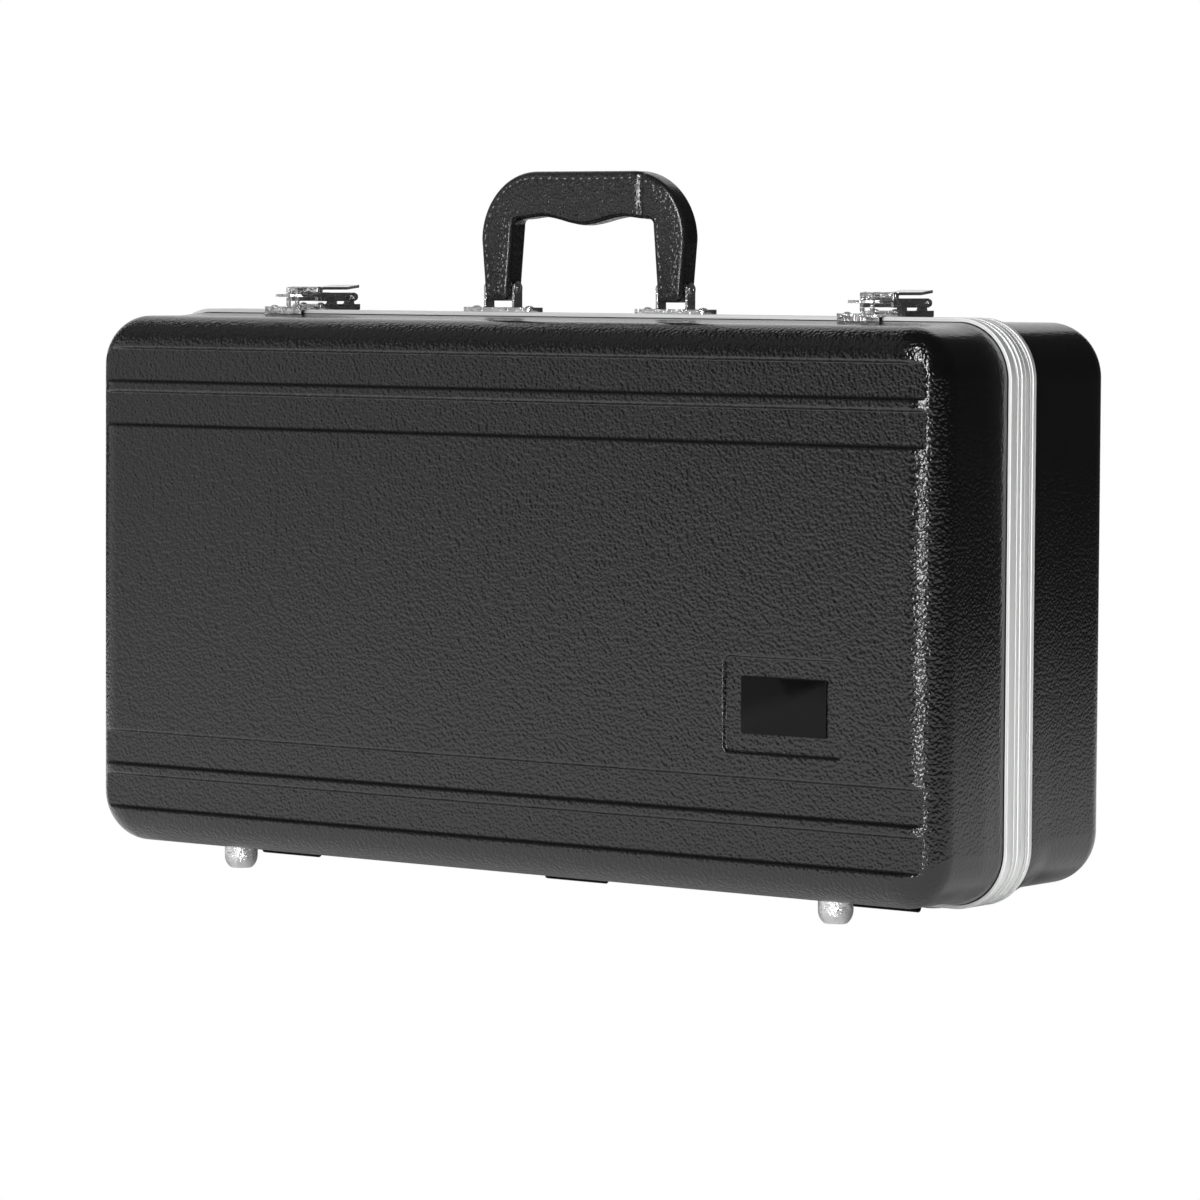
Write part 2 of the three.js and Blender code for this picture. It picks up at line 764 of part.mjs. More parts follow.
function latchBase(name) {
  const plate = block(
    -latchBaseHalf,
    latchBaseHalf,
    latchBaseFront,
    latchBaseBack,
    0,
    latchBaseThick,
  );
  const packer = block(
    -latchBaseHalf,
    latchBaseHalf,
    baseValanceReach + fitGap,
    latchPackerBack,
    -valanceProud,
    latchBaseThick / 2,
  );
  const earOuter = latchEarInner + latchEarThick;
  const ears = pairOnX(latchEarInner, earOuter, (from, to) =>
    extrudeAlongX(latchEarOutline(), from, to));
  const bore = haspPinRadius + pinHoleGap;
  let body = joined([plate, packer, ...ears]);
  body = body.subtract(rodAlongX(bore, -latchBaseHalf, latchBaseHalf, haspPinBack, haspPinRise));
  for (const side of [-1, 1]) {
    const hole = latchRivetShank + rivetHoleGap;
    const x = side * latchRivetX;
    body = body.subtract(rodAlongZ(hole, x, latchRivetY, -overrun, latchBaseThick + overrun));
  }
  return named(name, body, chrome());
}

function latchRivets(prefix) {
  const group = new THREE.Group();
  for (const [end, side] of [['left', -1], ['right', 1]]) {
    const onCatch = rivet(
      `${prefix}_catch_rivet_${end}`,
      latchRivetRadius,
      latchRivetTall,
      latchRivetShank,
      catchThick,
    );
    onCatch.position.set(side * catchRivetX, -catchRivetY, catchThick);
    const onBase = rivet(
      `${prefix}_base_rivet_${end}`,
      latchRivetRadius,
      latchRivetTall,
      latchRivetShank,
      latchBaseThick,
    );
    onBase.position.set(side * latchRivetX, latchRivetY, latchBaseThick);
    group.add(onCatch, onBase);
  }
  return group;
}

function latch(prefix, x) {
  const group = new THREE.Group();
  const haspPinName = `${prefix}_hasp_pin`;
  const leverPinName = `${prefix}_lever_pin`;
  group.add(
    latchCatch(`${prefix}_catch`),
    latchBase(`${prefix}_base`),
    latchHasp(`${prefix}_hasp`),
    headedPin(haspPinName, haspPinRadius, haspPinHead, haspPinBack, haspPinRise),
    latchLever(`${prefix}_lever`),
    headedPin(leverPinName, leverPinRadius, leverPinHead, leverPinBack, leverPinRise),
    latchSpring(`${prefix}_lever_spring`),
    latchRivets(prefix),
  );
  group.position.set(x, splitY, valanceTop);
  return group;
}

// Handle
// Drawn with its middle plane at y = 0 and the valance's top at z = 0.

function archOutline() {
  const outline = new THREE.Shape();
  const footOuter = handleLegCentre + handleLegFootHalf;
  const footInner = handleLegCentre - handleLegFootHalf;
  const corner = handleLegCorner;
  const low = handleLegBottom;
  const shoulder = handleTop - handleCorner;
  const flat = handleHalf - handleCorner;
  const openTop = handleGripEnd - handleOpeningCorner;
  const openEdge = handleLegInnerX - handleOpeningCorner;
  outline.moveTo(-footOuter, low + corner);
  outline.absarc(-footOuter + corner, low + corner, corner, Math.PI, Math.PI * 1.5, false);
  outline.absarc(-footInner - corner, low + corner, corner, -Math.PI / 2, 0, false);
  outline.lineTo(-handleLegInnerX, openTop);
  outline.absarc(-openEdge, openTop, handleOpeningCorner, Math.PI, Math.PI / 2, true);
  outline.splineThru([
    new THREE.Vector2(-handleGripPeakX, handleGripPeak),
    new THREE.Vector2(-handleGripPeakX / 2, (handleGripPeak + handleGripBump) / 2),
    new THREE.Vector2(0, handleGripBump),
    new THREE.Vector2(handleGripPeakX / 2, (handleGripPeak + handleGripBump) / 2),
    new THREE.Vector2(handleGripPeakX, handleGripPeak),
    new THREE.Vector2(openEdge, handleGripEnd),
  ]);
  outline.absarc(openEdge, openTop, handleOpeningCorner, Math.PI / 2, 0, true);
  outline.lineTo(footInner, low + corner);
  outline.absarc(footInner + corner, low + corner, corner, Math.PI, Math.PI * 1.5, false);
  outline.absarc(footOuter - corner, low + corner, corner, -Math.PI / 2, 0, false);
  outline.lineTo(handleHalf, shoulder);
  outline.absarc(flat, shoulder, handleCorner, 0, Math.PI / 2, false);
  outline.absarc(-flat, shoulder, handleCorner, Math.PI / 2, Math.PI, false);
  return outline;
}

function handleArch() {
  const edge = { across: handleRounding, along: handleRounding, steps: archEdgeSteps };
  const half = handleThick / 2;
  const arch = extrudeAlongY(archOutline(), -half, half, archSteps, edge);
  const reach = handleHalf + overrun;
  const bore = rodAlongX(handleBore, -reach, reach, 0, handlePinRise);
  return named('handle_arch', arch.subtract(bore), leather());
}

function earOutline() {
  const outline = new THREE.Shape();
  outline.moveTo(-earHalf, bracketThick / 2);
  outline.lineTo(earHalf, bracketThick / 2);
  outline.lineTo(earHalf, handlePinRise);
  outline.absarc(0, handlePinRise, earHalf, 0, Math.PI, false);
  return outline;
}

function handleBracket(name) {
  const front = splitGap / 2 + fitGap - handleBack;
  const outline = roundedSpan(-bracketHalf, bracketHalf, front, front + bracketDeep, bracketCorner);
  const earInner = handleLegFootHalf + earGap;
  const ears = pairOnX(earInner, earInner + earThick, (from, to) =>
    extrudeAlongX(earOutline(), from, to));
  let body = joined([extrudeAlongZ(outline, 0, bracketThick), ...ears]);
  body = body.subtract(rodAlongX(handleBore, -bracketHalf, bracketHalf, 0, handlePinRise));
  for (const side of [-1, 1]) {
    const hole = bracketRivetShank + rivetHoleGap;
    const x = side * bracketRivetX;
    body = body.subtract(rodAlongZ(hole, x, 0, -overrun, bracketThick + overrun));
  }
  return named(name, body, chrome());
}

function handlePin(name) {
  const earOuter = handleLegFootHalf + earGap + earThick;
  const headFrom = earOuter + fitGap;
  const headTo = headFrom + eyeletThick;
  const rod = rodAlongX(handlePinRadius, -headTo, headTo, 0, handlePinRise);
  const heads = pairOnX(headFrom, headTo, (from, to) =>
    rodAlongX(eyeletRadius, from, to, 0, handlePinRise));
  const dents = pairOnX(headTo - eyeletDeep, headTo + overrun, (from, to) =>
    rodAlongX(eyeletHole, from, to, 0, handlePinRise));
  const body = joined([rod, ...heads]).subtract(joined(dents));
  return named(name, body, chrome());
}

function handleMount(side, label) {
  const group = new THREE.Group();
  group.add(handleBracket(`handle_bracket_${label}`), handlePin(`handle_pin_${label}`));
  for (const [end, sign] of [['left', -1], ['right', 1]]) {
    const fastener = rivet(
      `handle_bracket_${label}_rivet_${end}`,
      bracketRivetRadius,
      bracketRivetTall,
      bracketRivetShank,
      bracketThick,
    );
    fastener.position.set(sign * bracketRivetX, 0, bracketThick);
    group.add(fastener);
  }
  group.position.x = side * handleLegCentre;
  return group;
}

function handle() {
  const group = new THREE.Group();
  group.add(handleArch(), handleMount(-1, 'left'), handleMount(1, 'right'));
  group.position.set(0, splitY + handleBack, valanceTop);
  return group;
}

// Lining

function nestBell() {
  const outline = new THREE.Shape();
  outline.moveTo(bellFrom, bellLow);
  outline.lineTo(bellTo, bellLow);
  outline.lineTo(flareTo, bodyLow / 2);
  outline.lineTo(flareTo, bodyHigh);
  outline.lineTo(bellTo, bellHigh);
  outline.lineTo(bellFrom, bellHigh);
  return outline;
}

function nest() {
  const backY = baseDepth - shellWall - liningGap;
  const rounding = faceRounding - shellWall - liningGap;
  const outline = caseOutline(valanceProud + shellWall + liningGap);
  const curve = { across: rounding, along: rounding, steps: innerSteps };
  const whole = extrudeAlongY(outline, -backY, backY, cornerSteps, curve);
  const reach = caseLength / 2;
  const front = block(-reach, reach, -backY - overrun, nestFront, -overrun, valanceTop);
  const mouth = nestFront - overrun;
  const floor = backY - nestFloor;
  const pocketFloor = backY - nestPocketFloor;
  const hollow = (shape, to, steps = smallSteps) =>
    extrudeAlongY(shape, mouth, to, steps).translate([0, 0, shellMiddle]);
  const cavities = [
    hollow(nestBell(), floor),
    hollow(roundedSpan(bodyFrom, bodyTo, bodyLow, bodyHigh, nestCorner), floor),
    hollow(roundedSpan(valvesFrom, valvesTo, valvesLow, valvesHigh, nestCorner), floor),
    hollow(roundedSpan(bodyTo - 2 * nestCorner, leadpipeTo, leadpipeLow, bodyHigh, nestCorner), floor),
    hollow(
      roundedSpan(oilPocketFrom, oilPocketTo, oilPocketLow, oilPocketHigh, nestCorner),
      pocketFloor,
    ),
    hollow(
      roundedSpan(clothPocketFrom, clothPocketTo, clothPocketLow, clothPocketHigh, nestCorner),
      pocketFloor,
    ),
  ];
  for (const x of [mouthpieceX, mouthpieceX - mouthpieceStep]) {
    const hole = new THREE.Shape();
    hole.absarc(x, mouthpieceZ, mouthpieceRadius, 0, Math.PI * 2, false);
    cavities.push(hollow(hole, pocketFloor, holeSteps));
  }
  return named('base_nest', whole.subtract(front).subtract(joined(cavities)), plush());
}

function lidPad() {
  const backY = lidDepth - shellWall - liningGap;
  const outline = caseOutline(valanceProud + shellWall + padInset);
  const curve = { across: padEdge, along: padCrown, steps: roundingSteps };
  const pad = extrudeAlongY(outline, backY - padThick, backY, cornerSteps, curve);
  return named('lid_pad', pad, plush());
}

// Assembly

function baseSide() {
  const group = new THREE.Group();
  group.add(baseShell(), baseValance(), nest());
  group.position.y = splitY;
  return group;
}

function lidSide() {
  const group = new THREE.Group();
  group.add(lidShell(), lidValance(), badgePlate(), lidPad());
  group.rotation.z = Math.PI;
  group.position.y = splitY;
  return group;
}

function hinges() {
  const group = new THREE.Group();
  for (const [label, step] of [['left', -1], ['middle', 0], ['right', 1]]) {
    const hinge = new THREE.Group();
    hinge.add(
      hingeLeaf(`hinge_${label}_base_leaf`, 1, 0),
      hingeLeaf(`hinge_${label}_lid_leaf`, -1, 1),
      hingePin(`hinge_${label}_pin`),
    );
    hinge.position.set(step * hingeSpacing, splitY, hingeAxisZ);
    group.add(hinge);
  }
  return group;
}

function feet() {
  const group = new THREE.Group();
  for (const [half, out] of [['lid', -1], ['base', 1]]) {
    for (const [label, along] of [['left', -1], ['right', 1]]) {
      const one = foot(`${half}_foot_${label}`);
      one.position.set(along * footSpacing, splitY + out * footOut, 0);
      group.add(one);
    }
  }
  return group;
}

const trumpetCase = new THREE.Group();
trumpetCase.add(
  baseSide(),
  lidSide(),
  hinges(),
  feet(),
  latch('latch_left', -latchSpacing),
  latch('latch_right', latchSpacing),
  handle(),
);

export default trumpetCase;
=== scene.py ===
"""A hard trumpet case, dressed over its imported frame.

The moulded shells, the ridged valance, the stitched handle, the feet, the badge plate and the
linings are modelled here. Latches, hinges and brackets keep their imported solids, with broken
edges and their own metal finishes. Sizes are in millimetres and angles in degrees, apart from
the studio's, which are in metres and radians.
"""

import logging
import math
from dataclasses import dataclass
from enum import Enum
from functools import cache
from typing import Sequence

import bpy
import numpy as np
from mathutils import Matrix, Vector


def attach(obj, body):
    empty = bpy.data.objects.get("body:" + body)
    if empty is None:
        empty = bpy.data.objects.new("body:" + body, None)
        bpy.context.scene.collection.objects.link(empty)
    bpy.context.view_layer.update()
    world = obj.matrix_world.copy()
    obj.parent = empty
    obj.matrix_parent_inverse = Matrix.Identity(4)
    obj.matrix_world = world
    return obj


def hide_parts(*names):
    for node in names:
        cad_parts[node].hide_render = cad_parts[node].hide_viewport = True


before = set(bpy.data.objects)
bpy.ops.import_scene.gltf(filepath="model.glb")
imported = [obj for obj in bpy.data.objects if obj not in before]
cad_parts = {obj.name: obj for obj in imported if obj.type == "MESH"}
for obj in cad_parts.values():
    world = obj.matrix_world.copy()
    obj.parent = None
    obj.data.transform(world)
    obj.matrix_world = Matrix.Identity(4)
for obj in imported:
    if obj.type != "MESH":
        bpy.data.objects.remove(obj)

log = logging.getLogger("trumpet_case")
MM = 0.001

# Where the case stands in the frame
SPLIT_Y = -5.0
MIDDLE_Z = 151.0
VALANCE_TOP = 294.2
VALANCE_BOTTOM = 7.8

Colour = tuple[float, float, float]
Rows = list[tuple[float, float]]
Socket = bpy.types.NodeSocket
Input = Socket | float | str | Sequence[float]


class Side(Enum):
    """One half of the case; the value is the way it lies from the split along Y."""

    LID = -1
    BASE = 1

    @property
    def body(self) -> str:
        """Name of the moving body that this half belongs to."""
        return "lid" if self is Side.LID else "base"


class Slot(Enum):
    """The record's material slots."""

    SHELL = "shell"
    VALANCE = "valance"
    PLATED = "plated"
    HINGE = "hinge"
    HANDLE = "handle"
    BADGE = "badge"
    LINING = "lining"
    SPRING = "spring"


# Shader graphs


class Graph:
    """Adds and links nodes in one node tree."""

    def __init__(self, tree: bpy.types.NodeTree) -> None:
        """Keeps the tree that the nodes go into."""
        self.tree = tree

    def add(
        self, kind: str, inputs: dict[str | int, Input] | None = None, **settings: object
    ) -> bpy.types.Node:
        """Adds one node.

        Args:
            kind: the node's bl_idname.
            inputs: what its inputs get, by their names or numbers.
            **settings: properties of the node, set before its inputs are.

        Returns:
            The new node.
        """
        node = self.tree.nodes.new(kind)
        for name, value in settings.items():
            setattr(node, name, value)
        self.feed(node, inputs or {})
        return node

    def feed(self, node: bpy.types.Node, inputs: dict[str | int, Input]) -> None:
        """Feeds some inputs of a node.

        Args:
            node: the node.
            inputs: a socket to link or a value to set, by the input's name or number.
        """
        for name, value in inputs.items():
            if isinstance(value, Socket):
                self.tree.links.new(value, node.inputs[name])
            else:
                node.inputs[name].default_value = value

    def maths(self, operation: str, first: Input, second: Input = 0.0) -> Socket:
        """Adds a Math node and returns its output."""
        return self.add("ShaderNodeMath", {0: first, 1: second}, operation=operation).outputs[0]

    def vector(self, operation: str, inputs: dict[str | int, Input]) -> Socket:
        """Adds a Vector Math node and returns its first output."""
        return self.add("ShaderNodeVectorMath", inputs, operation=operation).outputs[0]

    def spread(
        self, value: Socket, low: Input, high: Input, to_low: Input, to_high: Input
    ) -> Socket:
        """Maps a value smoothly from one range to another, clamped.

        Args:
            value: the socket that varies.
            low: where the range starts.
            high: where it ends.
            to_low: what low turns into.
            to_high: what high turns into.

        Returns:
            The mapped value.
        """
        inputs = {"Value": value, "From Min": low, "From Max": high}
        inputs |= {"To Min": to_low, "To Max": to_high}
        node = self.add("ShaderNodeMapRange", inputs, interpolation_type="SMOOTHSTEP")
        return node.outputs["Result"]


class Effects:
    """Node groups that several finishes share, each built once."""

    @staticmethod
    def _start(
        name: str, numbers: dict[str, float], results: Sequence[str]
    ) -> tuple[Graph, bpy.types.Node, bpy.types.Node]:
        """Opens a new group.

        Args:
            name: the group's name.
            numbers: its number inputs, with their usual values.
            results: its number outputs.

        Returns:
            The graph, its input node and its output node.
        """
        tree = bpy.data.node_groups.new(name, "ShaderNodeTree")
        kind = "NodeSocketFloat"
        for label, usual in numbers.items():
            socket = tree.interface.new_socket(name=label, in_out="INPUT", socket_type=kind)
            socket.default_value = usual
        for label in results:
            tree.interface.new_socket(name=label, in_out="OUTPUT", socket_type=kind)
        graph = Graph(tree)
        return graph, graph.add("NodeGroupInput"), graph.add("NodeGroupOutput")

    @staticmethod
    @cache
    def grain() -> bpy.types.NodeTree:
        """Pebbled grain, for plastic, leather, plush and uneven metal.

        Returns:
            A group with Scale, Jitter and Fine inputs and Height and Valley outputs.
        """
        usual = {"Scale": 600.0, "Jitter": 0.35, "Fine": 0.35}
        graph, given, result = Effects._start("grain", usual, ("Height", "Valley"))
        scale, jitter, share = (given.outputs[label] for label in usual)
        place = graph.add("ShaderNodeTexCoord").outputs["Object"]
        warp = graph.add("ShaderNodeTexNoise", {"Vector": place, "Scale": scale, "Detail": 2.0})
        centred = graph.vector("SUBTRACT", {0: warp.outputs["Color"], 1: (0.5, 0.5, 0.5)})
        reach = graph.maths("DIVIDE", jitter, scale)
        pushed = graph.vector("SCALE", {0: centred, "Scale": reach})
        moved = graph.vector("ADD", {0: place, 1: pushed})
        inputs = {"Vector": moved, "Scale": scale, "Smoothness": 0.6}
        cells = graph.add("ShaderNodeTexVoronoi", inputs, feature="SMOOTH_F1")
        inputs = {"Vector": place, "Scale": graph.maths("MULTIPLY", scale, 1.7), "Detail": 3.0}
        fine = graph.add("ShaderNodeTexNoise", inputs)
        away = cells.outputs["Distance"]
        domes = graph.maths("SUBTRACT", 1.0, away)
        height = graph.maths("ADD", domes, graph.maths("MULTIPLY", fine.outputs["Fac"], share))
        valley = graph.spread(away, 0.35, 0.85, 0.0, 1.0)
        graph.feed(result, {"Height": height, "Valley": valley})
        return graph.tree

    @staticmethod
    @cache
    def mottle() -> bpy.types.NodeTree:
        """Slow variation over a surface, for colour, gloss and ripples.

        Returns:
            A group with Scale, Low and High inputs and a Value output.
        """
        usual = {"Scale": 12.0, "Low": 0.0, "High": 1.0}
        graph, given, result = Effects._start("mottle", usual, ("Value",))
        scale, low, high = (given.outputs[label] for label in usual)
        place = graph.add("ShaderNodeTexCoord").outputs["Object"]
        inputs = {"Vector": place, "Scale": scale, "Detail": 5.0, "Roughness": 0.6}
        cloud = graph.add("ShaderNodeTexNoise", inputs)
        graph.feed(result, {"Value": graph.spread(cloud.outputs["Fac"], 0.3, 0.7, low, high)})
        return graph.tree

    @staticmethod
    @cache
    def flats() -> bpy.types.NodeTree:
        """Tells faces that look along Y from the drawn walls and edges between them.

        Returns:
            A group with Low, High and Share inputs and a Kept output, which is Share where the
            normal's Y part is under Low and 1 where it is over High.
        """
        usual = {"Low": 0.15, "High": 0.8, "Share": 0.3}
        graph, given, result = Effects._start("flats", usual, ("Kept",))
        low, high, share = (given.outputs[label] for label in usual)
        normal = graph.add("ShaderNodeNewGeometry").outputs["True Normal"]
        parts = graph.add("ShaderNodeSeparateXYZ", {0: normal})
        flat = graph.maths("ABSOLUTE", parts.outputs["Y"])
        graph.feed(result, {"Kept": graph.spread(flat, low, high, share, 1.0)})
        return graph.tree

    @staticmethod
    @cache
    def brushing() -> bpy.types.NodeTree:
        """Fine lines drawn along the first surface coordinate, as on extruded metal.

        Returns:
            A group with Along and Across inputs and a Lines output.
        """
        usual = {"Along": 14.0, "Across": 2600.0}
        graph, given, result = Effects._start("brushing", usual, ("Lines",))
        place = graph.add("ShaderNodeTexCoord").outputs["UV"]
        split = graph.add("ShaderNodeSeparateXYZ", {0: place})
        inputs = {}
        for axis, label in enumerate(usual):
            inputs[axis] = graph.maths("MULTIPLY", split.outputs[axis], given.outputs[label])
        join = graph.add("ShaderNodeCombineXYZ", inputs)
        inputs = {"Vector": join.outputs[0], "Scale": 1.0, "Detail": 4.0}
        lines = graph.add("ShaderNodeTexNoise", inputs, noise_dimensions="2D")
        graph.feed(result, {"Lines": lines.outputs["Fac"]})
        return graph.tree


class Surface(Graph):
    """The graph of one new material, with its Principled shader."""

    def __init__(self, name: str) -> None:
        """Starts a material.

        Args:
            name: the material's name.
        """
        self.material = bpy.data.materials.new(name)
        self.material.use_nodes = True
        super().__init__(self.material.node_tree)
        self.shader = self.tree.nodes["Principled BSDF"]

    def effect(self, tree: bpy.types.NodeTree, **values: float) -> bpy.types.bpy_prop_collection:
        """Places a shared effect with its own values and returns its outputs."""
        return self.add("ShaderNodeGroup", values, node_tree=tree).outputs

    def shade(self, mask: Socket, dark: Colour, light: Colour) -> None:
        """Colours the surface between two colours.

        Args:
            mask: 0 for dark, 1 for light.
            dark: the colour where the mask is 0.
            light: the colour where it is 1.
        """
        inputs = {0: mask, 6: (*dark, 1.0), 7: (*light, 1.0)}
        mix = self.add("ShaderNodeMix", inputs, data_type="RGBA")
        self.feed(self.shader, {"Base Color": mix.outputs[2]})

    def emboss(self, height: Socket, depth: float) -> None:
        """Bumps the surface.

        Args:
            height: the height that varies over the surface.
            depth: how deep a height of 1 is, in millimetres.
        """
        inputs = {"Distance": depth * MM, "Strength": 1.0, "Height": height}
        bump = self.add("ShaderNodeBump", inputs)
        self.feed(self.shader, {"Normal": bump.outputs["Normal"]})

    def close(self, **inputs: Input) -> bpy.types.Material:
        """Feeds the shader, whose inputs are named with _ for a space, and gives the material."""
        self.feed(self.shader, {name.replace("_", " "): inputs[name] for name in inputs})
        return self.material


class Finish:
    """A finish that makes one material."""

    name: str
    slot: Slot

    def build(self) -> bpy.types.Material:
        """Makes the material."""
        raise NotImplementedError


@dataclass(frozen=True)
class MouldedPlastic(Finish):
    """Black moulded plastic with a pebbled grain, fainter on its drawn walls."""

    name: str = "moulded_black"
    slot: Slot = Slot.SHELL
    cells: float = 600.0
    depth: float = 0.36
    drawn_share: float = 0.3
    # light is the plastic's own black on the pebbles; dark is painted shade for the grain's
    # valleys.
    dark: Colour = (0.0006, 0.0006, 0.0007)
    light: Colour = (0.0022, 0.0021, 0.0022)
    smoothest: float = 0.16
    roughest: float = 0.22
    refraction: float = 1.5

    def build(self) -> bpy.types.Material:
        """Makes the material.

        Returns:
            The plastic's own black, painted a little darker in the grain's valleys as shade.
        """
        surface = Surface(self.name)
        grain = surface.effect(Effects.grain(), Scale=self.cells, Jitter=0.6, Fine=0.2)["Height"]
        cloud = surface.effect(Effects.mottle(), Scale=9.0, Low=self.smoothest, High=self.roughest)
        flats = surface.effect(Effects.flats(), Low=0.15, High=0.8, Share=self.drawn_share)
        # Painted shade: the colour darkens down into the grain's valleys, following the bump
        # height.
        surface.shade(grain, self.dark, self.light)
        surface.emboss(surface.maths("MULTIPLY", grain, flats["Kept"]), self.depth)
        return surface.close(Roughness=cloud["Value"], IOR=self.refraction)


@dataclass(frozen=True)
class SatinAluminium(Finish):
    """Extruded aluminium with lines along it."""

    name: str = "satin_aluminium"
    slot: Slot = Slot.VALANCE
    dark: Colour = (0.74, 0.75, 0.75)
    light: Colour = (0.86, 0.86, 0.85)
    depth: float = 0.003
    smoothest: float = 0.6
    roughest: float = 0.7

    def build(self) -> bpy.types.Material:
        """Makes the material.

        Returns:
            Light metal with a satin sheen and drawn lines.
        """
        surface = Surface(self.name)
        lines = surface.effect(Effects.brushing(), Along=14.0, Across=2600.0)["Lines"]
        surface.shade(lines, self.dark, self.light)
        surface.emboss(lines, self.depth)
        rough = surface.spread(lines, 0.3, 0.7, self.smoothest, self.roughest)
        return surface.close(Roughness=rough, Metallic=1.0)


@dataclass(frozen=True)
class PlatedMetal(Finish):
    """Bright or dark plated metal with faint smudges and ripples."""

    name: str
    slot: Slot
    dark: Colour
    light: Colour
    smoothest: float
    roughest: float
    ripple: float = 0.0
    unevenness: float = 0.006

    def build(self) -> bpy.types.Material:
        """Makes the material.

        Returns:
            Plated metal whose gloss varies a little.
        """
        surface = Surface(self.name)
        mottle = Effects.mottle()
        smudge = surface.effect(mottle, Scale=160.0, Low=self.smoothest, High=self.roughest)
        tint = surface.effect(mottle, Scale=70.0, Low=0.0, High=1.0)
        wave = surface.effect(mottle, Scale=210.0, Low=0.0, High=self.ripple)
        grain = surface.effect(Effects.grain(), Scale=900.0, Jitter=0.6, Fine=0.6)
        surface.shade(tint["Value"], self.dark, self.light)
        uneven = surface.maths("MULTIPLY", grain["Height"], self.unevenness)
        surface.emboss(surface.maths("ADD", uneven, wave["Value"]), 1.0)
        return surface.close(Roughness=smudge["Value"], Metallic=1.0)


@dataclass(frozen=True)
class GrainedLeather(Finish):
    """Black leather cloth with a fine pebble, drawn smooth round its edges."""

    name: str = "grained_leather"
    slot: Slot = Slot.HANDLE
    cells: float = 620.0
    depth: float = 0.6
    drawn_share: float = 0.12
    # pebble is the leather's own colour; crease is painted shade for the hollows between pebbles.
    pebble: Colour = (0.006, 0.006, 0.0064)
    crease: Colour = (0.0015, 0.0015, 0.0015)
    smoothest: float = 0.2
    roughest: float = 0.42

    def build(self) -> bpy.types.Material:
        """Makes the material.

        Returns:
            Leather whose pebbles are glossier than the creases between them, with the creases
            painted darker as shade.
        """
        surface = Surface(self.name)
        grain = surface.effect(Effects.grain(), Scale=self.cells, Jitter=0.7, Fine=0.5)
        flats = surface.effect(Effects.flats(), Low=0.86, High=0.985, Share=self.drawn_share)
        # Painted shade: the creases between the pebbles are coloured darker than the pebbles.
        surface.shade(grain["Valley"], self.pebble, self.crease)
        surface.emboss(surface.maths("MULTIPLY", grain["Height"], flats["Kept"]), self.depth)
        rough = surface.spread(grain["Valley"], 0.0, 1.0, self.smoothest, self.roughest)
        return surface.close(Roughness=rough)


@dataclass(frozen=True)
class Thread(Finish):
    """Twisted sewing thread."""

    name: str = "sewing_thread"
    slot: Slot = Slot.HANDLE
    # The thread's own grey lies between these; dark is painted shade in the grooves, light a
    # painted highlight on the strands.
    dark: Colour = (0.07, 0.07, 0.07)
    light: Colour = (0.24, 0.24, 0.24)

    def build(self) -> bpy.types.Material:
        """Makes the material.

        Returns:
            Grey thread with twisted strands, painted lighter on the raised strands and darker
            between them as highlight and shade.
        """
        surface = Surface(self.name)
        place = surface.add("ShaderNodeTexCoord").outputs["Object"]
        inputs = {"Vector": place, "Scale": 900.0, "Distortion": 1.5}
        wave = surface.add("ShaderNodeTexWave", inputs, bands_direction="DIAGONAL")
        # Painted highlight and shade: the raised strands are lighter and the grooves darker,
        # following the bump.
        surface.shade(wave.outputs["Fac"], self.dark, self.light)
        surface.emboss(wave.outputs["Fac"], 0.05)
        return surface.close(Roughness=0.55)


@dataclass(frozen=True)
class Plush(Finish):
    """Short-pile plush."""

    name: str = "charcoal_plush"
    slot: Slot = Slot.LINING
    dark: Colour = (0.012, 0.012, 0.016)
    light: Colour = (0.03, 0.03, 0.038)
    depth: float = 0.35

    def build(self) -> bpy.types.Material:
        """Makes the material.

        Returns:
            A matt pile with a soft sheen and patches where the nap lies over.
        """
        surface = Surface(self.name)
        nap = surface.effect(Effects.mottle(), Scale=26.0, Low=0.0, High=1.0)
        pile = surface.effect(Effects.grain(), Scale=1500.0, Jitter=1.0, Fine=0.9)
        surface.shade(nap["Value"], self.dark, self.light)
        surface.emboss(pile["Height"], self.depth)
        return surface.close(Roughness=0.95, Sheen_Weight=0.5, Sheen_Roughness=0.4)


@dataclass(frozen=True)
class GlossEnamel(Finish):
    """Glossy black enamel of the bare badge plate."""

    name: str = "gloss_enamel"
    slot: Slot = Slot.BADGE
    dark: Colour = (0.0018, 0.0018, 0.002)
    light: Colour = (0.004, 0.004, 0.0045)
    depth: float = 0.012
    smoothest: float = 0.05
    roughest: float = 0.13

    def build(self) -> bpy.types.Material:
        """Makes the material.

        Returns:
            Deep black with a faint ripple in its coat.
        """
        surface = Surface(self.name)
        cloud = surface.effect(Effects.mottle(), Scale=60.0, Low=self.smoothest, High=self.roughest)
        ripple = surface.effect(Effects.grain(), Scale=260.0, Jitter=0.4, Fine=0.6)
        surface.shade(cloud["Value"], self.dark, self.light)
        surface.emboss(ripple["Height"], self.depth)
        return surface.close(Roughness=cloud["Value"], Specular_IOR_Level=0.1)


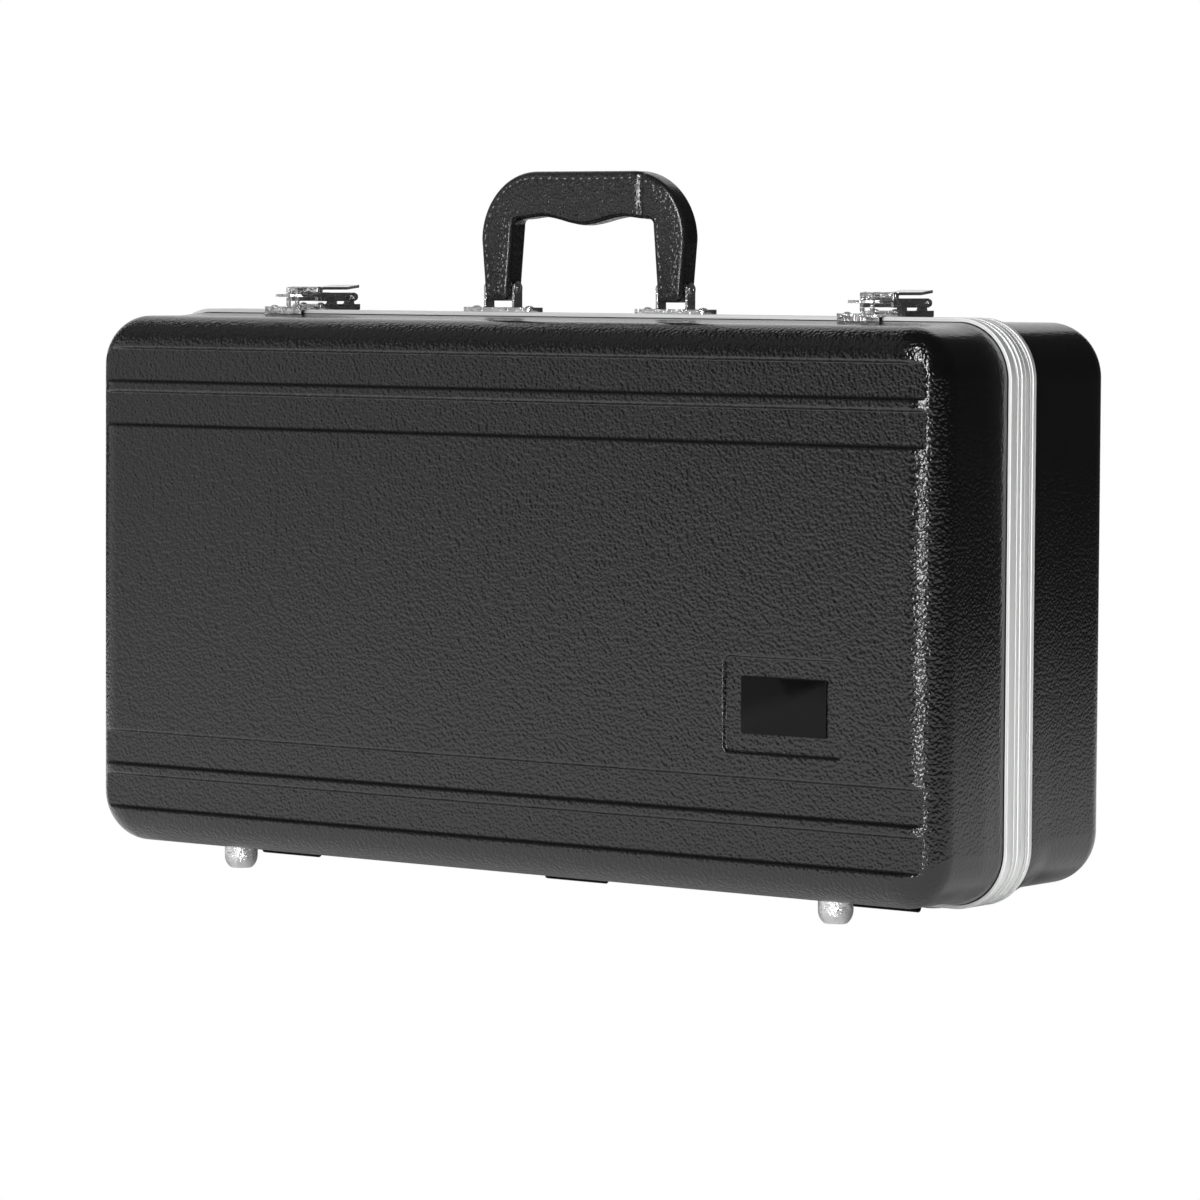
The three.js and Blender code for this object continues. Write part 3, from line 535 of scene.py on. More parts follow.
class Finishes:
    """Every finish of the case."""

    shell = MouldedPlastic()
    valance = SatinAluminium()
    chrome = PlatedMetal(
        "chrome_plate", Slot.PLATED, (0.62, 0.62, 0.62), (0.8, 0.8, 0.8), 0.05, 0.12, 0.5
    )
    hinge = PlatedMetal(
        "black_steel", Slot.HINGE, (0.012, 0.012, 0.013), (0.03, 0.03, 0.032), 0.16, 0.28
    )
    spring = PlatedMetal(
        "spring_steel", Slot.SPRING, (0.3, 0.31, 0.32), (0.48, 0.49, 0.5), 0.2, 0.32
    )
    leather = GrainedLeather()
    thread = Thread()
    plush = Plush()
    badge = GlossEnamel()

    @staticmethod
    @cache
    def of(finish: Finish) -> bpy.types.Material:
        """Returns the finish's material, made on first use."""
        return finish.build()


# Meshes


def new_object(name: str, data: bpy.types.ID) -> bpy.types.Object:
    """Adds an object to the scene.

    Args:
        name: its name.
        data: its mesh, light or camera.

    Returns:
        The object.
    """
    made = bpy.data.objects.new(name, data)
    bpy.context.scene.collection.objects.link(made)
    return made


def paint(piece: bpy.types.Object, finish: Finish) -> None:
    """Gives a piece one finish all over."""
    piece.data.materials.clear()
    piece.data.materials.append(Finishes.of(finish))


def settle(piece: bpy.types.Object, finish: Finish, body: str) -> bpy.types.Object:
    """Dresses a new piece and lets it ride on its body.

    Args:
        piece: the new object.
        finish: its finish.
        body: the body that it moves with.

    Returns:
        The piece.
    """
    paint(piece, finish)
    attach(piece, body)
    log.info("%s rides on %s", piece.name, body)
    return piece


def weigh_normals(piece: bpy.types.Object) -> None:
    """Lets large faces keep flat beside small roundings.

    Args:
        piece: the object whose normals are weighed.
    """
    weighted = piece.modifiers.new("weighted_normals", "WEIGHTED_NORMAL")
    weighted.keep_sharp = True
    weighted.weight = 80


class Skin:
    """Collects vertices and faces in millimetres and turns them into a piece."""

    def __init__(self) -> None:
        """Starts empty."""
        self.points: list[np.ndarray] = []
        self.faces: list[tuple[int, ...]] = []
        self.marks: list[np.ndarray] = []
        self.count = 0

    def put(self, points: np.ndarray, marks: np.ndarray | None = None) -> range:
        """Adds vertices.

        Args:
            points: an array of x, y, z rows.
            marks: surface coordinates of the rows, in metres.

        Returns:
            Their indices.
        """
        start = self.count
        self.points.append(points)
        self.marks.append(np.zeros((len(points), 2)) if marks is None else marks)
        self.count += len(points)
        return range(start, self.count)

    def face(self, corners: Sequence[int], flip: bool = False) -> None:
        """Adds one face, turned round if flip is set."""
        self.faces.append(tuple(corners[::-1] if flip else corners))

    def grid(self, points: np.ndarray, columns: int, flip: bool) -> list[int]:
        """Adds a grid of vertices and its quads.

        Args:
            points: the vertices, row after row.
            columns: how many vertices a row has.
            flip: turns the faces round.

        Returns:
            The indices of the outer vertices, once round from the first one.
        """
        index = np.array(self.put(points)).reshape(-1, columns)
        corners = (index[:-1, :-1], index[:-1, 1:], index[1:, 1:], index[1:, :-1])
        for quad in np.stack(corners, axis=-1).reshape(-1, 4).tolist():
            self.face(quad, flip)
        ring = (index[0], index[1:, -1], index[-1, -2::-1], index[-2:0:-1, 0])
        return np.concatenate(ring).tolist()

    def belts(
        self, rings: Sequence[Sequence[int]], closed: bool = False, flip: bool = False
    ) -> None:
        """Joins closed rings of one length with quads, each to the next.

        Args:
            rings: the vertex indices of each ring.
            closed: whether the last ring joins the first again.
            flip: turns the faces round.
        """
        following = [*rings[1:], rings[0]] if closed else rings[1:]
        for first, second in zip(rings, following):
            for k in range(len(first)):
                after = (k + 1) % len(first)
                self.face((first[k], first[after], second[after], second[k]), flip)

    def piece(self, name: str, finish: Finish, body: str, sharp: float = 0.0) -> bpy.types.Object:
        """Makes the Blender object.

        Args:
            name: the piece's name.
            finish: its finish.
            body: the body that it moves with.
            sharp: edges of at least this angle in degrees stay sharp; 0 keeps all smooth.

        Returns:
            The object, riding on its body.
        """
        mesh = bpy.data.meshes.new(name)
        points = np.concatenate(self.points) * MM
        mesh.from_pydata(points.tolist(), [], self.faces)
        layer = mesh.uv_layers.new(name="surface")
        corners = np.zeros(len(mesh.loops), dtype=np.int32)
        mesh.loops.foreach_get("vertex_index", corners)
        layer.data.foreach_set("uv", np.concatenate(self.marks)[corners].astype(np.float32).ravel())
        mesh.update()
        mesh.shade_smooth()
        if sharp:
            mesh.set_sharp_from_angle(angle=math.radians(sharp))
        return settle(new_object(name, mesh), finish, body)


def quarter(steps: int) -> list[float]:
    """Angles of a quarter turn in radians, from 0 to a right angle."""
    return [math.radians(90 * k / steps) for k in range(steps + 1)]


def eased(value: np.ndarray | float) -> np.ndarray | float:
    """A smooth step from 0 to 1."""
    kept = np.clip(value, 0.0, 1.0)
    return kept * kept * (3 - 2 * kept)


def rise(inside: np.ndarray | float, radius: float) -> np.ndarray | float:
    """Height of a quarter-round edge over its foot, by the distance inside the outline."""
    short = np.clip(radius - inside, 0.0, radius)
    return np.sqrt(radius**2 - short**2)


def blend(first: Sequence[float], second: Sequence[float], share: float) -> tuple[float, ...]:
    """The point at a share of the way from the first point to the second."""
    return tuple(a + (b - a) * share for a, b in zip(first, second))


def lines_between(low: float, high: float, step: float) -> list[float]:
    """Evenly spaced numbers from low to high, about step apart."""
    return list(np.linspace(low, high, max(2, round((high - low) / step) + 1)))


def thinned(values: Sequence[float], closest: float) -> list[float]:
    """Sorts numbers and drops those that lie too close to the one before.

    Args:
        values: the numbers, in any order.
        closest: the least that kept numbers lie apart.

    Returns:
        The kept numbers.
    """
    kept: list[float] = []
    for value in sorted(values):
        if not kept or value - kept[-1] >= closest:
            kept.append(value)
    return kept


def rounded_distance(
    x: np.ndarray, z: np.ndarray, half: tuple[float, float], corner: float
) -> np.ndarray:
    """Signed distance to a rounded rectangle about the origin, negative inside.

    Args:
        x: positions along the case.
        z: positions up from the rectangle's middle.
        half: half its size along the case and up.
        corner: radius of its corners.

    Returns:
        The distances.
    """
    over_x = np.abs(x) - (half[0] - corner)
    over_z = np.abs(z) - (half[1] - corner)
    outside = np.hypot(np.maximum(over_x, 0.0), np.maximum(over_z, 0.0))
    return outside + np.minimum(np.maximum(over_x, over_z), 0.0) - corner


@dataclass(frozen=True)
class Outline:
    """A rounded rectangle seen from the front, by its half sizes; the usual ones are the case's."""

    half_x: float = 270.0
    half_z: float = 143.2
    corner: float = 30.2

    def ring(self, depth: float, steps: int, spacing: float) -> np.ndarray:
        """Points around the outline.

        Args:
            depth: how far under the outline they lie.
            steps: steps in each corner.
            spacing: about how far apart the points of a straight run are.

        Returns:
            Rows of x, z and the way round in metres, the same number whatever the depth.
        """
        radius = self.corner - depth
        centre_x, centre_z = self.half_x - self.corner, self.half_z - self.corner
        arcs = []
        for side_x, side_z, start in ((1, -1, -90.0), (1, 1, 0.0), (-1, 1, 90.0), (-1, -1, 180.0)):
            turn = np.radians(start + 90.0 * np.arange(steps + 1) / steps)
            x = side_x * centre_x + radius * np.cos(turn)
            arcs.append(np.column_stack((x, side_z * centre_z + radius * np.sin(turn))))
        rows = []
        for arc, following, run in zip(arcs, arcs[1:] + arcs[:1], (centre_z, centre_x) * 2):
            cuts = max(1, round(2 * run / spacing))
            shares = np.arange(1, cuts)[:, None] / cuts
            rows += [arc, arc[-1] + (following[0] - arc[-1]) * shares]
        ring = np.concatenate(rows)
        around = np.concatenate(([0.0], np.cumsum(np.hypot(*np.diff(ring, axis=0).T))))
        return np.column_stack((ring, around * MM))

    def spread(self, lines_x: Sequence[float], lines_z: Sequence[float]) -> tuple[np.ndarray, ...]:
        """Places a grid over the outline's field whose outer lines follow the corners.

        Args:
            lines_x: positions of the lines across X, from -half_x to half_x.
            lines_z: positions of the lines across Z, from -half_z to half_z.

        Returns:
            Arrays of x, of z and of the distance to the outline, one row for each z line.
        """
        x, z = np.meshgrid(lines_x, lines_z)
        straight_x, straight_z = self.half_x - self.corner, self.half_z - self.corner
        over_x, over_z = np.abs(x) - straight_x, np.abs(z) - straight_z
        inside = np.minimum(self.half_x - np.abs(x), self.half_z - np.abs(z))
        corner = (over_x > 0) & (over_z > 0)
        reach = np.maximum(over_x, over_z)
        turn = np.minimum(over_x, over_z) / np.where(reach > 1e-9, reach, 1.0) * math.pi / 4
        angle = np.where(over_x >= over_z, turn, math.pi / 2 - turn)
        bent_x = np.sign(x) * (straight_x + reach * np.cos(angle))
        bent_z = np.sign(z) * (straight_z + reach * np.sin(angle))
        return (
            np.where(corner, bent_x, x),
            np.where(corner, bent_z, z),
            np.where(corner, self.corner - reach, inside),
        )


CASE_OUTLINE = Outline()


# Moulded shells


@dataclass(frozen=True)
class Step:
    """The section of a sunk place's edge: a fillet at its foot, a steep wall and a round lip.

    Fillet and lip are radii, and slope is the wall's angle to the face.
    """

    height: float
    fillet: float
    lip: float
    slope: float
    arc_steps: int = 8

    def section(self) -> tuple[np.ndarray, np.ndarray]:
        """Works the section out.

        Returns:
            Distances out from the middle of the wall, and the share of the height there.
        """
        turn = math.radians(self.slope)
        rising = turn * np.arange(self.arc_steps + 1) / self.arc_steps
        fillet_out = self.fillet * np.sin(rising)
        fillet_up = self.height - self.fillet * (1 - np.cos(rising))
        lip_out = self.lip * (math.sin(turn) - np.sin(rising[::-1]))
        lip_up = self.lip * (1 - np.cos(rising[::-1]))
        run = max(fillet_up[-1] - lip_up[0], 0.0) / math.tan(turn)
        out = np.concatenate((fillet_out, fillet_out[-1] + run + lip_out))
        up = np.concatenate((fillet_up, lip_up))
        return out - fillet_out[-1] - run / 2, up / self.height


@dataclass(frozen=True)
class SunkPlace:
    """A field sunk into a shell's face, by its middle and half sizes.

    Its lower edge has one section and its upper edge the other. Going up, the section starts to
    change at turns_from, a share of half_z, and has changed after turns_over more.
    """

    middle_x: float
    middle_z: float
    half_x: float
    half_z: float
    corner: float
    upper: Step
    lower: Step
    soft: float = 0.5
    turns_from: float = -0.95
    turns_over: float = 0.5
    lines_from: float = -3.2
    lines_to: float = 2.8
    line_step_x: float = 0.32
    line_step_z: float = 0.3

    def shape(self, x: np.ndarray, z: np.ndarray, plain: np.ndarray, face: float) -> np.ndarray:
        """Lowers the surface over the field, down to the field's level.

        Args:
            x: positions along the case.
            z: positions up from the middle of the shell's outline.
            plain: how far the surface is from the split there.
            face: how far the shell's flat face is from the split.

        Returns:
            The new distances from the split.
        """
        side_z = z - self.middle_z
        half = (self.half_x, self.half_z)
        away = rounded_distance(x - self.middle_x, side_z, half, self.corner)
        above = np.interp(away, *self.upper.section())
        below = np.interp(away, *self.lower.section())
        share = eased((side_z / self.half_z - self.turns_from) / self.turns_over)
        level = above * share + below * (1 - share)
        over = plain - (face - self.upper.height)
        drop = (over + np.sqrt(over**2 + self.soft**2)) / 2
        return plain - drop * level

    def lines_x(self) -> list[float]:
        """Grid lines across X at the field's ends."""
        return self._lines(self.middle_x, self.half_x, self.line_step_x)

    def lines_z(self) -> list[float]:
        """Grid lines across Z at the field's long edges."""
        return self._lines(self.middle_z, self.half_z, self.line_step_z)

    def _lines(self, middle: float, half: float, step: float) -> list[float]:
        """Grid lines over the field's two edges in one direction.

        Args:
            middle: the field's middle in that direction.
            half: half its size.
            step: about how far apart the lines are.

        Returns:
            The lines' positions.
        """
        lines = []
        for edge in (middle - half, middle + half):
            lines += lines_between(edge + self.lines_from, edge + self.lines_to, step)
        return lines


@dataclass(frozen=True)
class Shell:
    """A moulded half of the case with its sunk bands.

    Levels count from the split. The wall starts at rim, keeps the rim's outline up to rim_to,
    and has the body's outline from body_from on. Heights count from the floor.
    """

    side: Side
    depth: float
    body: Outline
    middle: float
    rounding: float
    rim_outline: Outline = Outline(267.8, 141.0, 28.0)
    rim: float = 3.5
    rim_to: float = 13.0
    body_from: float = 34.0
    wall: float = 3.0
    band_sunk: float = 2.4
    band_tall: float = 17.2
    band_corner: float = 1.0
    band_heights: tuple[float, ...] = (39.2, 62.2, 241.8, 264.8)
    padded: bool = False
    pad_x: float = 180.0
    pad_height: float = 106.5
    pad_half_x: float = 34.75
    pad_half_z: float = 23.25
    pad_corner: float = 3.0
    pad_sunk: float = 1.7
    sharp: float = 50.0
    round_steps: int = 30
    flat_step: float = 14.0
    bend_step: float = 0.8
    wall_step: float = 2.0
    run_out_step: float = 0.3
    run_out_reach: float = 2.5
    closest: float = 0.24

    def places(self) -> list[SunkPlace]:
        """Lays out what is sunk into the face.

        Returns:
            The bands, which run out in the rounding, and the badge's place on the lid.
        """
        upper = Step(self.band_sunk, fillet=0.3, lip=1.8, slope=66.0)
        lower = Step(self.band_sunk, fillet=0.9, lip=1.2, slope=62.0)
        band = (self.body.half_x + self.rounding, self.band_tall / 2, self.band_corner)
        found = [
            SunkPlace(0.0, height - self.middle, *band, upper, lower)
            for height in self.band_heights
        ]
        if self.padded:
            upper = Step(self.pad_sunk, fillet=0.3, lip=1.4, slope=66.0)
            lower = Step(self.pad_sunk, fillet=0.8, lip=0.9, slope=62.0)
            pad = (self.pad_half_x, self.pad_half_z, self.pad_corner)
            found.append(SunkPlace(self.pad_x, self.pad_height - self.middle, *pad, upper, lower))
        return found

    def _lines(self, half: float, wanted: list[float]) -> list[float]:
        """Grid lines in one direction.

        Args:
            half: half the shell's size in that direction.
            wanted: lines that the sunk places need.

        Returns:
            All lines, denser on the rounding and in the corners.
        """
        edge = [half - self.rounding * (1 - math.sin(turn)) for turn in quarter(self.round_steps)]
        inner_bend = half - self.body.corner
        bend = lines_between(inner_bend, half - self.rounding - 0.7, self.bend_step)
        flat = lines_between(-inner_bend, inner_bend, self.flat_step)
        wanted = [line for line in wanted if abs(line) < half - 0.6]
        inner = thinned(flat + bend + [-line for line in bend] + wanted, self.closest)
        fixed = edge + [-line for line in edge]
        clear = self.closest / 2
        kept = [line for line in inner if min(abs(line - other) for other in fixed) > clear]
        return sorted(kept + fixed)

    def build(self) -> bpy.types.Object:
        """Models the shell.

        Returns:
            The shell with its outer face, its walls and its inner face.
        """
        places = self.places()
        run_out = math.sqrt(self.rounding**2 - (self.rounding - self.band_sunk) ** 2)
        end = self.body.half_x - self.rounding + run_out
        wanted = [line for place in places for line in place.lines_x()]
        reach = self.run_out_reach
        wanted += lines_between(end - reach, end + reach, self.run_out_step)
        lines_x = self._lines(self.body.half_x, wanted + [-line for line in wanted])
        wanted = [line for place in places for line in place.lines_z()]
        lines_z = self._lines(self.body.half_z, wanted)
        x, z, inside = self.body.spread(lines_x, lines_z)
        out = self.depth - self.rounding + rise(inside, self.rounding)
        for place in places:
            out = place.shape(x, z, out, self.depth)
        skin = Skin()
        flip = self.side is Side.BASE
        edge = skin.grid(self._points(x, z + self.middle, out), len(lines_x), flip)
        rings: list[Sequence[int]] = [edge]
        for inset, level in self._inner_rings():
            moved_x, height = self._carried(x.ravel()[edge], z.ravel()[edge], inset, level)
            rings.append(skin.put(self._points(moved_x, height, np.full(len(edge), level))))
        skin.belts(rings, flip=flip)
        centre = [np.full(1, value) for value in (0.0, self.middle, self.depth - self.wall)]
        (middle,) = skin.put(self._points(*centre))
        last = rings[-1]
        for k, here in enumerate(last):
            skin.face((here, last[(k + 1) % len(last)], middle), flip)
        name = self.side.body
        piece = skin.piece(f"{name}_moulding", Finishes.shell, name, self.sharp)
        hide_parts(f"{name}_shell")
        return piece

    def _inner_rings(self) -> list[tuple[float, float]]:
        """Follows the wall's section from the outer edge down to the rim and up again inside.

        Returns:
            The insets and levels of its rings.
        """
        spring = self.depth - self.rounding
        wall = lines_between(self.rim_to, self.body_from, self.wall_step)
        rings = [(0.0, level) for level in (spring - 8.0, *wall[::-1], self.rim)]
        rings += [(self.wall, level) for level in (self.rim, *wall, spring)]
        bend = self.rounding - self.wall
        for turn in quarter(8)[1:]:
            inset = self.wall + bend * (1 - math.cos(turn))
            rings.append((inset, spring + bend * math.sin(turn)))
        return rings

    def _carried(
        self, x: np.ndarray, z: np.ndarray, inset: float, level: float
    ) -> tuple[np.ndarray, np.ndarray]:
        """Carries points of the body's outline to the wall's outline at another level.

        Args:
            x: positions along the case.
            z: positions up from the middle of the body's outline.
            inset: how far under the wall's outline they go.
            level: how far from the split they go.

        Returns:
            The new positions along the case, and the heights above the floor.
        """
        share = float(eased((level - self.rim_to) / (self.body_from - self.rim_to)))
        rim, body = self.rim_outline, self.body
        corner = rim.corner + (body.corner - rim.corner) * share
        moved = []
        sizes = ((x, rim.half_x, body.half_x), (z, rim.half_z, body.half_z))
        for place, rim_half, body_half in sizes:
            straight = body_half - body.corner
            over = np.maximum(np.abs(place) - straight, 0.0)
            half = rim_half + (body_half - rim_half) * share
            reach = np.minimum(np.abs(place), straight) * (half - corner) / straight
            moved.append(np.sign(place) * (reach + over * (corner - inset) / body.corner))
        return moved[0], moved[1] + MIDDLE_Z + (self.middle - MIDDLE_Z) * share

    def _points(self, x: np.ndarray, height: np.ndarray, out: np.ndarray) -> np.ndarray:
        """Places points by x, height above the floor and distance from the split."""
        y = SPLIT_Y + self.side.value * out
        return np.column_stack((x.ravel(), y.ravel(), height.ravel()))


# Edge frame, feet and badge


@dataclass(frozen=True)
class Valance:
    """One half of the extruded frame at the split, swept along the case's outline.

    Each bar has a width along Y and a depth under the outer face. The other sizes of the section
    are depths under that face, or distances from the split.
    """

    side: Side
    bars: tuple[tuple[float, float], ...]
    flange: float = 1.9
    web: float = 3.0
    gap: float = 0.15
    inner_from: float = 5.5
    inner_to: float = 6.7
    inner_reach: float = 9.0
    groove_from: float = 3.0
    groove_to: float = 5.0
    groove_foot: float = 2.15
    tongue_section: tuple[tuple[float, float], ...] = (
        (3.4, -1.5), (3.5, -1.6), (4.5, -1.6), (4.6, -1.5), (4.6, 1.5), (3.4, 1.5)
    )
    tongue_low: float = VALANCE_BOTTOM + 45.0
    tongue_sharp: float = 40.0
    soft: float = 0.22
    soft_most: float = 0.45
    soft_shares: tuple[float, ...] = (0.0, 0.33, 0.67, 1.0)
    steps: int = 20
    spacing: float = 30.0

    def profile(self) -> Rows:
        """Draws the section, with its bars, its flange and the lid's groove.

        Returns:
            Its corners as depth under the outer face and distance from the split.
        """
        points = []
        along = self.gap
        for wide, drop in self.bars:
            points += [(drop, along), (drop, along + wide)]
            along += wide
        foot = self.gap + self.web
        points += [(self.flange, along), (self.flange, foot), (self.inner_from, foot)]
        points += [(self.inner_from, self.inner_reach), (self.inner_to, self.inner_reach)]
        points.append((self.inner_to, self.gap))
        if self.side is Side.LID:
            points += [(self.groove_to, self.gap), (self.groove_to, self.groove_foot)]
            points += [(self.groove_from, self.groove_foot), (self.groove_from, self.gap)]
        return points

    def _softened(self) -> Rows:
        """Rounds each corner of the section a little.

        Returns:
            The softened section, four points for each corner.
        """
        points = [Vector(point) for point in self.profile()]
        soft: Rows = []
        for before, here, after in zip(points[-1:] + points, points, points[1:] + points[:1]):
            back, on = before - here, after - here
            reach = min(self.soft, back.length * self.soft_most, on.length * self.soft_most)
            first = here + back.normalized() * reach
            last = here + on.normalized() * reach
            for share in self.soft_shares:
                bent = first * (1 - share) ** 2 + here * 2 * share * (1 - share)
                bent += last * share**2
                soft.append((bent.x, bent.y))
        return soft

    def build(self) -> bpy.types.Object:
        """Models the frame.

        Returns:
            The frame with its grooves and flanges.
        """
        skin = Skin()
        section = self._softened()
        across = 0.0
        rings = []
        for before, (depth, along) in zip(section[:1] + section, section):
            ring = CASE_OUTLINE.ring(depth, self.steps, self.spacing)
            y = np.full(len(ring), SPLIT_Y + self.side.value * along)
            across += math.dist(before, (depth, along)) * MM
            points = np.column_stack((ring[:, 0], y, ring[:, 1] + MIDDLE_Z))
            marks = np.column_stack((ring[:, 2], np.full(len(ring), across)))
            rings.append(skin.put(points, marks))
        skin.belts(rings, closed=True, flip=self.side is Side.BASE)
        piece = skin.piece(f"{self.side.body}_edge_frame", Finishes.valance, self.side.body)
        weigh_normals(piece)
        if self.side is Side.BASE:
            self._tongue().parent = piece
        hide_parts(f"{self.side.body}_valance")
        return piece

    def _tongue(self) -> bpy.types.Object:
        """Models the tongue that seats in the lid's groove, except along the hinges.

        Returns:
            The tongue.
        """
        skin = Skin()
        runs = []
        for depth, along in self.tongue_section:
            ring = CASE_OUTLINE.ring(depth, self.steps, self.spacing)[:, :2] + (0.0, MIDDLE_Z)
            rows = [row for row in ring if row[1] > self.tongue_low + 1.0]
            first = next(k for k, row in enumerate(rows) if row[0] > 0)
            rows = rows[first:] + rows[:first]
            ends = [(rows[k][0], self.tongue_low) for k in (0, -1)]
            kept = np.array([ends[0], *rows, ends[1]])
            y = np.full(len(kept), SPLIT_Y + along)
            runs.append(skin.put(np.column_stack((kept[:, 0], y, kept[:, 1]))))
        for first, second in zip(runs, runs[1:] + runs[:1]):
            for n in range(len(first) - 1):
                skin.face((first[n], first[n + 1], second[n + 1], second[n]))
        for end in (0, -1):
            skin.face([run[end] for run in runs])
        return skin.piece("base_edge_tongue", Finishes.valance, "base", self.tongue_sharp)


@dataclass(frozen=True)
class Foot:
    """A turned foot: a flat tread with a dimple, a round shoulder and a straight side."""

    name: str
    side: Side
    x: float
    y: float
    dimple: tuple[tuple[float, float], ...] = (
        (0.0, 0.9), (2.4, 0.9), (2.6, 0.75), (2.75, 0.15), (3.0, 0.0)
    )
    tread: float = 5.6
    tread_flat: float = 0.8
    radius: float = 8.7
    shoulder: float = 6.6
    shoulder_steps: int = 12
    lean: float = 32.0
    side_from: float = 8.4
    height: float = 15.0
    steps: int = 56
    sharp: float = 70.0

    def profile(self) -> Rows:
        """Draws the section.

        Returns:
            Radii and heights from the middle of the tread up to the shell.
        """
        points = [*self.dimple, (self.tread * self.tread_flat, 0.0), (self.tread, 0.0)]
        curve = self.radius - self.tread
        start = math.radians(self.lean)
        for k in range(1, self.shoulder_steps + 1):
            angle = start + (math.pi / 2 - start) * k / self.shoulder_steps
            out = (math.sin(angle) - math.sin(start)) / (1 - math.sin(start))
            up = 1 - math.cos(angle) / math.cos(start)
            points.append((self.tread + curve * out, self.shoulder * up))
        return points + [(self.radius, self.side_from), (self.radius, self.height)]

    def build(self) -> bpy.types.Object:
        """Models the foot.

        Returns:
            The foot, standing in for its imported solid.
        """
        skin = Skin()
        angles = np.linspace(0, 2 * math.pi, self.steps, endpoint=False)
        rings = []
        for radius, height in self.profile():
            x = self.x + radius * np.cos(angles)
            y = self.y + radius * np.sin(angles)
            rings.append(skin.put(np.column_stack((x, y, np.full(self.steps, height)))))
        skin.belts(rings, flip=True)
        skin.face(rings[-1])
        piece = skin.piece(f"{self.name}_turned", Finishes.chrome, self.side.body, self.sharp)
        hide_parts(self.name)
        return piece


@dataclass(frozen=True)
class BadgePlate:
    """The bare glossy plate on the lid."""

    x: float = 180.0
    z: float = 106.5
    outline: Outline = Outline(25.25, 14.0, 1.0)
    back: float = 71.4
    face: float = 72.6
    edge: float = 0.35
    edge_steps: int = 4
    corner_steps: int = 6
    sharp: float = 35.0

    def build(self) -> bpy.types.Object:
        """Models the plate.

        Returns:
            A plate with a rounded front edge.
        """
        skin = Skin()
        sections = [(0.0, self.back)]
        for turn in quarter(self.edge_steps):
            inset = self.edge * (1 - math.cos(turn))
            sections.append((inset, self.face - self.edge * (1 - math.sin(turn))))
        rings = []
        for inset, out in sections:
            ring = self.outline.ring(inset, self.corner_steps, spacing=2 * self.outline.half_x)
            y = np.full(len(ring), SPLIT_Y - out)
            rings.append(skin.put(np.column_stack((ring[:, 0] + self.x, y, ring[:, 1] + self.z))))
        skin.belts(rings)
        skin.face(rings[-1])
        skin.face(rings[0], flip=True)
        piece = skin.piece("badge_plate_bare", Finishes.badge, "lid", self.sharp)
        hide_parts("badge_plate")
        return piece


# Handle


